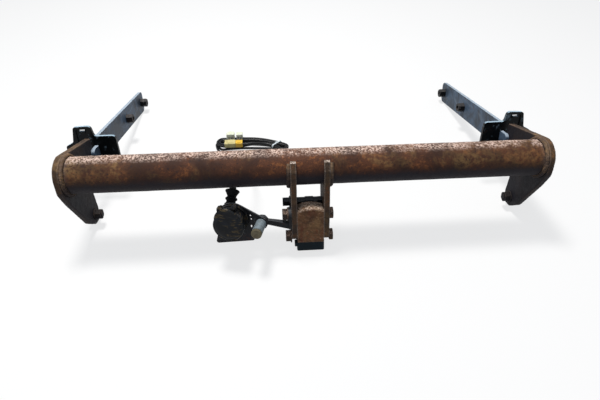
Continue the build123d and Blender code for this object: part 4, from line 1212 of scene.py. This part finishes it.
@dataclass
class CableBoot:
    """Soft ribbed boot on the socket's cable outlet."""

    frame: SocketFrame
    foot: Vector = field(default_factory=lambda: Vector((-13, 16, 3)) * MM)
    direction: Vector = field(default_factory=lambda: Vector((0.1, 0.707, 0.7)).normalized())
    start: float = 14 * MM
    lumps: tuple[float, float] = (6 * MM, 0.25 * MM)
    section_mm: list[tuple[float, float]] = field(default_factory=lambda: [
        (9.05, 0.6), (12.0, 0.2), (12.9, 0.8), (13.3, 2.2), (13.3, 5.4), (12.8, 6.6), (11.2, 7.8),
        (10.4, 9.2), (10.1, 11.5), (10.0, 14.0), (11.0, 14.9), (12.4, 15.5), (13.0, 16.4), (13.0, 18.4),
        (12.4, 19.4), (10.8, 20.2), (9.9, 21.4), (9.7, 23.6), (10.3, 25.2), (12.6, 29.4), (14.6, 33.0),
        (15.4, 34.4), (15.5, 35.6), (14.8, 36.6), (12.0, 37.4), (9.2, 38.4), (8.0, 39.8), (7.2, 43.0),
        (6.3, 47.0), (5.6, 50.6), (5.0, 51.4), (4.0, 51.4), (3.75, 50.8), (3.75, 10.0), (8.6, 9.0),
        (9.05, 8.2),
    ])

    def build(self, finishes: Finishes) -> bpy.types.Object:
        """Build the boot.

        Args:
            finishes: Every finish.

        Returns:
            The boot.
        """
        section = [(radius * MM, height * MM) for radius, height in self.section_mm]
        piece = turned("boot_ribbed", section, ring=True)
        sideways = (Vector((1, 0, 0)) - self.direction * self.direction.x).normalized()
        turn = Matrix((sideways, self.direction.cross(sideways), self.direction)).transposed().to_4x4()
        place = Matrix.Translation(self.foot + self.direction * self.start)
        piece.data.transform(self.frame.matrix() @ place @ turn)
        roughen(piece, *self.lumps)
        smooth(piece, 50)
        return dress(piece, finishes.get("black_rubber"), "black_rubber", Body.SWING, "cable_boot")


def half_turn(x: float, y_from: float, y_to: float, z: float, bulge: int, corners: int = 7) -> list[Vector]:
    """Control points of a half turn: the corners of a polygon drawn round its circle.

    Args:
        x: Where the straight runs end.
        y_from: Where it starts across the coil.
        y_to: Where it ends across the coil.
        z: Its height.
        bulge: 1 at the coil's right end, -1 at its left end.
        corners: Number of control points.

    Returns:
        The points, from the coil's middle.
    """
    middle = (y_from + y_to) / 2
    reach = (y_from - y_to) / 2 / math.cos(math.radians(90 / corners))
    points = []
    for k in range(corners):
        angle = math.radians((k + 0.5) * 180 / corners)
        points.append(Vector((x + bulge * abs(reach) * math.sin(angle), middle + reach * math.cos(angle), z)))
    return points


def hump(x: float, middle: float, reach: float) -> float:
    """Value that is 1 at a place and falls off smoothly on both sides of it."""
    return math.exp(-((x - middle) / reach) ** 2)


@dataclass
class Loom:
    """The wiring loom: a limp lead in corrugated conduit and its oval coil."""

    lead: list[tuple[float, float, float]] = field(default_factory=lambda: [
        (-0.1615, -0.2065, 0.1252), (-0.1589, -0.1917, 0.1341), (-0.143, -0.160, 0.150),
        (-0.136, -0.125, 0.147),
        (-0.131, -0.092, 0.121), (-0.131, -0.062, 0.073), (-0.136, -0.033, 0.027), (-0.147, 0.005, 0.006),
        (-0.165, 0.034, 0.0044), (-0.196, 0.051, 0.0044), (-0.2265, 0.074, 0.0044), (-0.2335, 0.100, 0.0044),
    ])
    centre: Vector = field(default_factory=lambda: Vector((-0.134, 0.107, 0)))
    half_run: float = 75.5 * MM
    end_radius: float = 24.0 * MM
    pitch: float = 7.6 * MM
    foot: float = 4.4 * MM
    step_up: float = 7.5 * MM
    tail: float = 49.5 * MM
    tie_place: float = 62 * MM
    bend_from: float = 34 * MM
    bend_length: float = 30 * MM
    bend_radius: float = 45.2 * MM
    stretch_right: float = 0.42
    stretch_left: float = 0.06
    widths: list[tuple[float, float]] = field(default_factory=lambda: [
        (-80, 21.5), (-15, 19.5), (22, 14.6), (50, 11.4), (72, 10.8), (93, 15.0),
    ])
    sway: float = 2.5 * MM
    sway_place: float = 22 * MM
    sway_reach: float = 40 * MM
    upper_wave: float = 1.0 * MM
    lower_wave: float = 0.6 * MM
    waves_along: float = 70
    waves_across: float = 900
    parting: float = 6 * MM
    upper_shift: float = 7.2 * MM
    lower_shift: float = 2.5 * MM
    gap: float = 8.5 * MM
    gap_place: float = 27 * MM
    gap_reach: float = 22 * MM
    radius: float = 3.5 * MM
    groove: float = 3.15 * MM
    rib: float = 2.5 * MM
    length: float = 2.012
    sides: int = 12

    def climb(self, x_from: float, x_to: float, y: float, z_from: float, z_to: float) -> list[Vector]:
        """Control points of a run that rises by one layer."""
        bend = (x_to - x_from) * 0.3
        return [Vector((x_from + bend * 0.3, y, z_from)), Vector((x_from + bend, y, z_from)),
                Vector((x_to - bend, y, z_to)), Vector((x_to - bend * 0.3, y, z_to))]

    def run(self, x_from: float, x_to: float, y: float, z: float) -> list[Vector]:
        """Control points along a level run: at its thirds, and one near each end."""
        third = (x_to - x_from) / 3
        hand = math.copysign(self.tie_place, x_to)
        return [Vector((place, y, z)) for place in (-hand, x_from + third, x_to - third, hand)]

    def half_width(self, along: float) -> float:
        """Half of the hank's width between its outermost runs, at a place along it."""
        places = [(place * MM, width * MM) for place, width in self.widths]
        if along <= places[0][0]:
            return places[0][1]
        for (before, narrow), (after, wide) in zip(places, places[1:]):
            if along <= after:
                return narrow + (wide - narrow) * (along - before) / (after - before)
        return places[-1][1]

    def loosened(self, point: Vector) -> Vector:
        """Move a point of the even coil to where the tied, lazily wound hank has it.

        Args:
            point: The point, from the coil's middle.

        Returns:
            The moved point.
        """
        x, y, z = point
        upper = z > self.foot + self.step_up / 2
        span = self.end_radius if upper or y > 0 else self.end_radius - self.pitch
        stretched = max(x - self.bend_from, 0) * self.stretch_right + min(x, 0) * self.stretch_left
        along = x + stretched
        half = self.half_width(along)
        past = abs(x) - self.half_run
        if past > 0:
            start = self.half_run + (self.half_run - self.bend_from) * self.stretch_right
            if x < 0:
                start = -self.half_run * (1 + self.stretch_left)
            along = start + math.copysign(past * half / self.end_radius, x)
        share = min(max(1 + past / (self.half_run - self.tie_place), 0), 1)
        side = (abs(y) - span + half) * (1 - share) + abs(y) * half / span * share
        side = math.copysign(side, y) + self.sway * hump(along, self.sway_place, self.sway_reach)
        wave = self.upper_wave if upper else self.lower_wave
        side += wave * math.sin(self.waves_along * x + self.waves_across * y) * (1 - share)
        column = round((self.end_radius - abs(y)) / self.pitch)
        leftward = (1 - share) / (1 + math.exp((x + self.parting) / self.parting))
        if y < 0 and upper and column:
            side -= self.upper_shift * leftward
        elif y < 0 and column == 1:
            side += self.lower_shift * leftward - self.gap * hump(x, self.gap_place, self.gap_reach)
        angle = min(max(along - self.bend_from, 0), self.bend_length) / self.bend_radius
        beyond = max(along - self.bend_from - self.bend_length, 0)
        middle = Vector((min(along, self.bend_from) + self.bend_radius * math.sin(angle),
                         self.bend_radius * (math.cos(angle) - 1)))
        middle += Vector((math.cos(angle), -math.sin(angle))) * beyond
        middle += Vector((math.sin(angle), math.cos(angle))) * side
        return Vector((*middle, z))

    def coil(self) -> list[Vector]:
        """Control points of the coil: one layer wound inwards, the next outwards, then the tail.

        Returns:
            The points, in the resting frame.
        """
        left, right = -self.half_run, self.half_run
        low, high, top = (self.foot + layer * self.step_up for layer in range(3))
        outer, inner = self.end_radius, self.end_radius - 2 * self.pitch
        points = half_turn(left, -outer, outer, low, -1)[3:]
        y = outer
        while y > inner + MM:
            nearer = y - self.pitch
            points += self.run(left, right, y, low) + half_turn(right, y, -nearer, low, 1)
            if nearer > inner + MM:
                points += self.run(right, left, -nearer, low) + half_turn(left, -nearer, nearer, low, -1)
            y = nearer
        points += self.climb(right, left, -inner, low, high)
        y = inner
        while y < outer - MM:
            wider = y + self.pitch
            points += half_turn(left, -y, wider, high, -1) + self.run(left, right, wider, high)
            points += half_turn(right, wider, -wider, high, 1)
            if wider < outer - MM:
                points += self.run(right, left, -wider, high)
            y = wider
        points += self.climb(right, left + self.tail, -outer, high, top)
        points.append(Vector((left + self.tail, -outer, top)))
        return [self.centre + self.loosened(point) for point in points]

    def line(self) -> list[Vector]:
        """Centre line of the loom, read from its smooth spline at even steps.

        Returns:
            The points, half a rib apart.
        """
        return evenly(on_spline([Vector(point) for point in self.lead[:-1]] + self.coil()), self.rib / 2)

    def build(self, finishes: Finishes, with_pieces: list[bpy.types.Object]) -> bpy.types.Object:
        """Build the conduit.

        Args:
            finishes: Every finish.
            with_pieces: The pieces on it; not used.

        Returns:
            The conduit.
        """
        line = self.line()
        radii = [self.radius if k % 2 else self.groove for k in range(len(line))]
        piece = tube_along("loom_conduit", line, radii, self.sides)
        piece.data.materials.append(finishes.get("loom_sheath"))
        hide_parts("lead_run", "lead_coil")
        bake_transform(piece)
        LOG.info("%s: %d points", piece.name, len(line))
        return piece


def on_spline(control: list[Vector], resolution: int = 10) -> list[Vector]:
    """Points on the smooth spline that a list of control points gives.

    Args:
        control: The control points.
        resolution: Points per stretch.

    Returns:
        The points.
    """
    curve = bpy.data.curves.new("route", "CURVE")
    curve.dimensions = "3D"
    spline = curve.splines.new("NURBS")
    spline.points.add(len(control) - 1)
    for point, place in zip(spline.points, control):
        point.co = (*place, 1.0)
    spline.order_u = 3
    spline.use_endpoint_u = True
    spline.resolution_u = resolution
    route = bpy.data.objects.new("route", curve)
    mesh = bpy.data.meshes.new_from_object(route)
    places = [vertex.co.copy() for vertex in mesh.vertices]
    bpy.data.objects.remove(route)
    bpy.data.curves.remove(curve)
    bpy.data.meshes.remove(mesh)
    return places


def evenly(places: list[Vector], step: float) -> list[Vector]:
    """Points at even steps along a line of points.

    Args:
        places: The line.
        step: Distance between the points, stretched a little so that the last one is the line's end.

    Returns:
        The points.
    """
    lengths = [0.0]
    for before, here in zip(places, places[1:]):
        lengths.append(lengths[-1] + (here - before).length)
    count = round(lengths[-1] / step)
    points, at = [], 0
    for k in range(count + 1):
        wanted = lengths[-1] * k / count
        while at < len(places) - 2 and lengths[at + 1] < wanted:
            at += 1
        share = (wanted - lengths[at]) / max(lengths[at + 1] - lengths[at], SHORTEST)
        points.append(places[at].lerp(places[at + 1], min(share, 1.0)))
    return points


def tube_along(name: str, line: list[Vector], radii: list[float], sides: int) -> bpy.types.Object:
    """Closed tube along a line, with a radius of its own at each point.

    Args:
        name: The piece's name.
        line: Points of the centre line.
        radii: Radius at each point.
        sides: Faces round the tube.

    Returns:
        The tube, on no body yet.
    """
    vertices, faces = [], []
    across = Vector((0, 0, 1)).cross(line[1] - line[0]).normalized()
    last = len(line) - 1
    for k, (here, radius) in enumerate(zip(line, radii)):
        along = (line[min(k + 1, last)] - line[max(k - 1, 0)]).normalized()
        across = (across - along * across.dot(along)).normalized()
        other = along.cross(across)
        for side in range(sides):
            angle = 2 * math.pi * side / sides
            vertices.append(here + across * (radius * math.cos(angle)) + other * (radius * math.sin(angle)))
    for k in range(last):
        for side in range(sides):
            a, b = k * sides + side, k * sides + (side + 1) % sides
            faces.append((a, b, b + sides, a + sides))
    faces.append(tuple(range(sides - 1, -1, -1)))
    faces.append(tuple(range(last * sides, (last + 1) * sides)))
    mesh = bpy.data.meshes.new(name)
    mesh.from_pydata(vertices, [], faces)
    mesh.polygons.foreach_set("use_smooth", [True] * len(mesh.polygons))
    piece = bpy.data.objects.new(name, mesh)
    bpy.context.scene.collection.objects.link(piece)
    return piece


@dataclass
class LoomFittings:
    """What sits on the loom: its tie, the connectors with their latches, and the wires between them."""

    tie_middle: Vector = field(default_factory=lambda: Vector((-64.5, 92.6, 8.6)) * MM)
    tie_half_width: float = 16.4 * MM
    tie_half_height: float = 8.1 * MM
    tie_turn: float = -50.0
    tie_band: float = 4.5 * MM
    tie_wall: float = 0.9 * MM
    tie_round: float = 5.5 * MM
    head_mm: tuple[Tone, Tone] = ((-3.2, -3.5, -0.6), (3.2, 3.5, 2.8))
    tail_mm: tuple[Tone, Tone] = ((-2.1, 3.0, 0.5), (2.1, 15, 1.4))
    soft_edge: float = 0.6 * MM
    latch_share: float = 0.22
    latch_rise: float = 1.2 * MM
    latch_insets: tuple[float, float] = (3 * MM, 5 * MM)
    ribs: int = 5
    rib_half_width: float = 0.6 * MM
    rib_stand_off: float = 0.5 * MM
    rib_inset: float = 1.5 * MM
    wire_radius: float = 1.1 * MM
    wire_spacing: float = 5 * MM
    wire_arch: float = 3 * MM
    wire_step: float = 1.5 * MM

    def tie(self, finishes: Finishes) -> bpy.types.Object:
        """Build the flat tie: a slanting loop pulled round the whole hank, with its head and tail.

        Args:
            finishes: Every finish.

        Returns:
            The tie.
        """
        bpy.ops.object.select_all(action="DESELECT")
        bpy.ops.mesh.primitive_cube_add(size=1)
        piece = settle(bpy.context.active_object, "hank_tie")
        with editing(piece, "FACE") as mesh:
            size = (self.tie_band, 2 * self.tie_half_width, 2 * self.tie_half_height)
            bpy.ops.transform.resize(value=size, center_override=(0, 0, 0))
            pick(mesh, [face for face in mesh.faces if abs(face.normal.x) > 0.9])
            bpy.ops.mesh.delete(type="ONLY_FACE")
        modify(piece, "BEVEL", width=self.tie_round, segments=6, limit_method="ANGLE", angle_limit=SHARP_FROM)
        modify(piece, "SOLIDIFY", thickness=self.tie_wall, offset=0)
        top = Vector((0, 0, self.tie_half_height))
        extras = []
        ends = (("tie_head", self.head_mm, 0.6 * MM), ("tie_tail", self.tail_mm, 0.3 * MM))
        for name, corners, bevel in ends:
            low, high = (top + Vector(place) * MM for place in corners)
            extras.append(slab(name, low, high, bevel))
        joined(piece, extras)
        turn = Matrix.Rotation(math.radians(self.tie_turn), 4, "Z")
        piece.data.transform(Matrix.Translation(self.tie_middle) @ turn)
        smooth(piece, 40)
        return dress(piece, finishes.get("tie_plastic"), "tie", Body.BAR, "coil_tie")

    def connector(self, node: str, finish: str, slot: str, finishes: Finishes) -> bpy.types.Object:
        """Build a connector: its housing with soft edges, and a latch and ribs on its top.

        Args:
            node: The node that it stands for.
            finish: Its finish.
            slot: The record's material slot.
            finishes: Every finish.

        Returns:
            The connector.
        """
        piece = soft_copy(node, node + "_moulded", self.soft_edge)
        if node != "connector_clear":
            joined(piece, self.latch_and_ribs(*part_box(node)))
        smooth(piece, 35)
        return dress(piece, finishes.get(finish), slot, Body.BAR, node)

    def latch_and_ribs(self, low: Vector, high: Vector) -> list[bpy.types.Object]:
        """Build the latch on a connector's top and the ribs on its front.

        Args:
            low: The connector's lowest corner.
            high: Its highest corner.

        Returns:
            The latch and the ribs.
        """
        middle, width = (low.x + high.x) / 2, high.x - low.x
        half = self.latch_share * width
        near, far = self.latch_insets
        pieces = [slab("latch", Vector((middle - half, low.y + near, high.z - 0.4 * MM)),
                       Vector((middle + half, high.y - far, high.z + self.latch_rise)), 0.4 * MM)]
        for k in range(self.ribs):
            x = low.x + width * (k + 0.5) / self.ribs
            start = Vector((x - self.rib_half_width, low.y - self.rib_stand_off, low.z + self.rib_inset))
            end = Vector((x + self.rib_half_width, low.y + 0.6 * MM, high.z - self.rib_inset))
            pieces.append(slab("rib", start, end, 0.25 * MM))
        return pieces

    def wires(self, finishes: Finishes) -> bpy.types.Object:
        """Build the short wires from the two larger connectors back to the clear ones.

        Args:
            finishes: Every finish.

        Returns:
            The wires, as one piece.
        """
        clear_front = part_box("connector_clear")[0].y
        pieces = []
        for node in ("connector_cream", "connector_yellow"):
            near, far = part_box(node)
            for sign in (-1, 1):
                x = (near.x + far.x) / 2 + sign * self.wire_spacing / 2
                start = Vector((x, far.y - 2 * MM, near.z + 4.5 * MM))
                end = Vector((x + sign * MM, clear_front + 3 * MM, near.z + 8 * MM))
                reach = (end.y - start.y) / 4
                control = [start, start + Vector((0, reach, 0)),
                           start + Vector((sign * 2 * MM, 2 * reach, self.wire_arch)),
                           end - Vector((0, reach, -MM)), end]
                line = evenly(on_spline(control), self.wire_step)
                pieces.append(tube_along("wire", line, [self.wire_radius] * len(line), 10))
        piece = joined(pieces[0], pieces[1:])
        piece.name = "connector_leads"
        return dress(piece, finishes.get("wire_sheath"), "loom", Body.BAR, "connector_wires")

    def build(self, finishes: Finishes) -> list[bpy.types.Object]:
        """Build everything that sits on the loom.

        Args:
            finishes: Every finish.

        Returns:
            The pieces.
        """
        return [
            self.tie(finishes),
            self.connector("connector_cream", "cream_plastic", "cream", finishes),
            self.connector("connector_yellow", "yellow_plastic", "yellow", finishes),
            self.connector("connector_clear", "clear_plastic", "clear", finishes),
            self.wires(finishes),
        ]


@dataclass(frozen=True)
class Lamp:
    """A square soft lamp."""

    name: str
    place: Tone
    side: float
    watts: float
    colour: Tone

    def hang(self, aim: Vector) -> None:
        """Add the lamp.

        Args:
            aim: The point that it faces.
        """
        light = bpy.data.lights.new(self.name, "AREA")
        light.shape = "SQUARE"
        light.size = self.side
        light.energy = self.watts
        light.color = self.colour
        lamp = bpy.data.objects.new(self.name, light)
        lamp.location = self.place
        lamp.rotation_euler = (aim - Vector(self.place)).to_track_quat("-Z", "Y").to_euler()
        bpy.context.scene.collection.objects.link(lamp)


@dataclass
class Studio:
    """Pale floor, white surroundings, soft lamps and the camera of the reference view."""

    camera_place: Vector = field(default_factory=lambda: Vector((-0.063924, -0.950223, 0.762914)))
    camera_turn: Tone = (47.114, 0.0, -3.588)
    lens: float = 27.0
    sensor: float = 36.0
    floor_size: float = 8.0
    floor_drop: float = 0.4 * MM
    floor_seen: Tone = (0.9, 0.9, 0.9)
    floor_unseen: Tone = (0.22, 0.22, 0.23)
    floor_glow: float = 0.72
    sky: Tone = (0.80, 0.88, 1.0)
    sky_strength: float = 0.3
    aim: Vector = field(default_factory=lambda: Vector((0, 0, 0.1)))
    lamps: list[Lamp] = field(default_factory=lambda: [
        Lamp("key", (-0.35, 0.35, 2.35), 0.5, 56.0, (1.0, 0.98, 0.95)),
        Lamp("front_fill", (-0.6, -2.2, 1.4), 1.8, 10.0, (0.92, 0.95, 1.0)),
    ])

    def floor(self) -> None:
        """Build the floor: white where the camera sees it, a mid grey for the light that it gives back."""
        bpy.ops.object.select_all(action="DESELECT")
        bpy.ops.mesh.primitive_plane_add(size=self.floor_size, location=(0, 0, -self.floor_drop))
        piece = bpy.context.active_object
        piece.name = "floor"
        finish = Finish("floor_paper")
        tree = finish.tree
        path = finish.node("ShaderNodeLightPath")
        seen = finish.calc("MAXIMUM", path.outputs["Is Camera Ray"], path.outputs["Is Glossy Ray"])
        seen = finish.calc("MAXIMUM", seen, path.outputs["Is Transmission Ray"])
        shade = finish.mix(seen, self.floor_unseen, self.floor_seen)
        finish.feed(finish.surface.inputs["Base Color"], shade)
        finish.surface.inputs["Roughness"].default_value = 0.9
        finish.surface.inputs[SPECULAR].default_value = 0.0
        glow = finish.node("ShaderNodeEmission")
        glow.inputs["Color"].default_value = WHITE
        both = finish.node("ShaderNodeMixShader")
        finish.feed(both.inputs[0], finish.times(seen, self.floor_glow))
        tree.links.new(finish.surface.outputs["BSDF"], both.inputs[1])
        tree.links.new(glow.outputs["Emission"], both.inputs[2])
        tree.links.new(both.outputs["Shader"], tree.nodes["Material Output"].inputs["Surface"])
        piece.data.materials.append(finish.material)

    def surroundings(self) -> None:
        """White for the eye, a cool pale grey for the light."""
        world = bpy.data.worlds.new("surroundings")
        world.use_nodes = True
        bpy.context.scene.world = world
        nodes, links = world.node_tree.nodes, world.node_tree.links
        seen, lit = nodes["Background"], nodes.new("ShaderNodeBackground")
        seen.inputs["Color"].default_value = WHITE
        seen.inputs["Strength"].default_value = 1.0
        lit.inputs["Color"].default_value = (*self.sky, 1.0)
        lit.inputs["Strength"].default_value = self.sky_strength
        path = nodes.new("ShaderNodeLightPath")
        share = path.outputs["Is Camera Ray"]
        for ray in ("Is Transmission Ray", "Is Glossy Ray"):
            highest = nodes.new("ShaderNodeMath")
            highest.operation = "MAXIMUM"
            links.new(share, highest.inputs[0])
            links.new(path.outputs[ray], highest.inputs[1])
            share = highest.outputs[0]
        both = nodes.new("ShaderNodeMixShader")
        links.new(share, both.inputs[0])
        links.new(lit.outputs[0], both.inputs[1])
        links.new(seen.outputs[0], both.inputs[2])
        links.new(both.outputs[0], nodes["World Output"].inputs["Surface"])

    def camera(self) -> None:
        """Add the camera of the reference view."""
        data = bpy.data.cameras.new("camera")
        data.lens = self.lens
        data.sensor_width = self.sensor
        camera = bpy.data.objects.new("camera", data)
        camera.location = self.camera_place
        camera.rotation_euler = Euler([math.radians(angle) for angle in self.camera_turn], "XYZ")
        bpy.context.scene.collection.objects.link(camera)
        bpy.context.scene.camera = camera

    def build(self) -> None:
        """Build the studio."""
        self.floor()
        self.surroundings()
        for lamp in self.lamps:
            lamp.hang(self.aim)
        self.camera()


@dataclass(frozen=True)
class PlainPart:
    """Construction piece that keeps its shape and gets a finish."""

    node: str
    finish: str

    def build(self, finishes: Finishes) -> None:
        """Give the node its finish."""
        node = bpy.data.objects[self.node]
        node.data.materials.clear()
        node.data.materials.append(finishes.get(self.finish))
        LOG.info("%s: %s", self.node, self.finish)


def both_sides(stem: str) -> list[str]:
    """Names of a mirrored pair of nodes."""
    return [f"{stem}_right", f"{stem}_left"]


@dataclass
class SlitLips:
    """The lip that leaves each rail flange's slit narrow."""

    frame: BarFrame
    low_mm: Tone = (503.6, 160.5, 33.6)
    high_mm: Tone = (517.4, 167.5, 38.4)
    edge: float = 0.4 * MM

    def build(self, finishes: Finishes) -> list[bpy.types.Object]:
        """Build the lips.

        Args:
            finishes: Every finish.

        Returns:
            The lips.
        """
        lips = []
        for side, sign in SIDES:
            near, far = sorted((sign * self.low_mm[0], sign * self.high_mm[0]))
            lip = slab(f"slit_lip_{side}", Vector((near, *self.low_mm[1:])) * MM,
                       Vector((far, *self.high_mm[1:])) * MM, self.edge)
            lip.data.transform(self.frame.matrix())
            lips.append(dress(lip, finishes.get("flange_paint"), "flange_black", Body.BAR))
        return lips


def skins() -> list[WeatheredSkin]:
    """Rusted pieces that get a weathered skin."""
    found = [WeatheredSkin(node, "end_rust", "plate_rust", voxel=1.5 * MM, lumps=0.7 * MM, pits=0.5 * MM,
                           pit_size=4 * MM) for node in both_sides("end_plate")]
    found += [WeatheredSkin(node, "neck_rust", "neck_rust", voxel=1.1 * MM)
              for node in both_sides("neck_plate")]
    found.append(WeatheredSkin("receiver_housing", "housing_rust", "housing_rust", voxel=0.9 * MM, lumps=MM,
                               pits=0.7 * MM, pit_size=2.5 * MM))
    for group, finish in (("tongue", "tongue_rust"), ("housing", "fastener_rust")):
        found += [WeatheredSkin(f"{group}_{kind}", finish, "fastener_rust", voxel=0.7 * MM, lumps=0.15 * MM,
                                pits=0.2 * MM, pit_size=2 * MM) for kind in ("bolts", "washers", "nuts")]
    return found


def softened() -> list[SoftenedPart]:
    """Plates and small parts that get rounded edges."""
    found = [SoftenedPart(node, "arm_paint", "arm_steel", edge=0.8 * MM) for node in both_sides("side_arm")]
    found += [SoftenedPart(node, "nut_black", "arm_steel") for node in both_sides("arm_weld_nuts")]
    found += [SoftenedPart(node, "flange_paint", "flange_black", edge=1.0 * MM)
              for node in both_sides("rail_flange")]
    found += [SoftenedPart(node, "black_steel", "black_steel")
              for node in ("stay_bolt", "stay_tube", "stay_nut", "socket_bracket")]
    found.append(SoftenedPart("pivot_bolt", "olive_zinc", "zinc", edge=0.4 * MM))
    found.append(SoftenedPart("pivot_nut", "zinc", "zinc", edge=0.4 * MM))
    found.append(SoftenedPart("swing_plate", "black_steel", "black_steel", Body.SWING, 0.5 * MM))
    found.append(SoftenedPart("receiver_plug", "teal_plastic", "teal_plastic", Body.PLUG, 0.8 * MM))
    return found


def plain() -> list[PlainPart]:
    """Construction pieces that keep their shape."""
    finishes = {
        "weld_rust": ["arm_welds"],
        "liner_steel": ["receiver_sleeve"],
        "zinc": ["pivot_washers", "pivot_tube", "socket_screws"],
        "black_steel": ["lid_hinge_pin", "lid_spring"],
        "black_plastic": ["socket_housing", "contact_insert", "socket_rear_cover"],
        "black_rubber": ["socket_gasket", "lid_seal"],
        "contact_brass": ["contact_sleeves"],
    }
    return [PlainPart(node, finish) for finish, nodes in finishes.items() for node in nodes]


def main() -> None:
    """Load the frame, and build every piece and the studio."""
    logging.basicConfig(level=logging.INFO, format="%(name)s: %(message)s")
    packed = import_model()
    bpy.context.scene.view_settings.view_transform = "Standard"

    finishes = Finishes()
    finishes.build()
    bar = BarFrame.read(packed["joints"])
    socket = SocketFrame.read(packed["joints"], SocketLid.hinge_y, SocketLid.hinge_rise)

    for part in plain():
        part.build(finishes)
    Loom().build(finishes, LoomFittings().build(finishes))
    CrossTube(bar).build(finishes)
    WeldBeads(bar).build(finishes)
    SlitLips(bar).build(finishes)
    for part in skins() + softened():
        part.build(finishes)
    SocketLid(socket).build(finishes)
    CableBoot(socket).build(finishes)
    Studio().build()


if __name__ == "__main__":
    main()
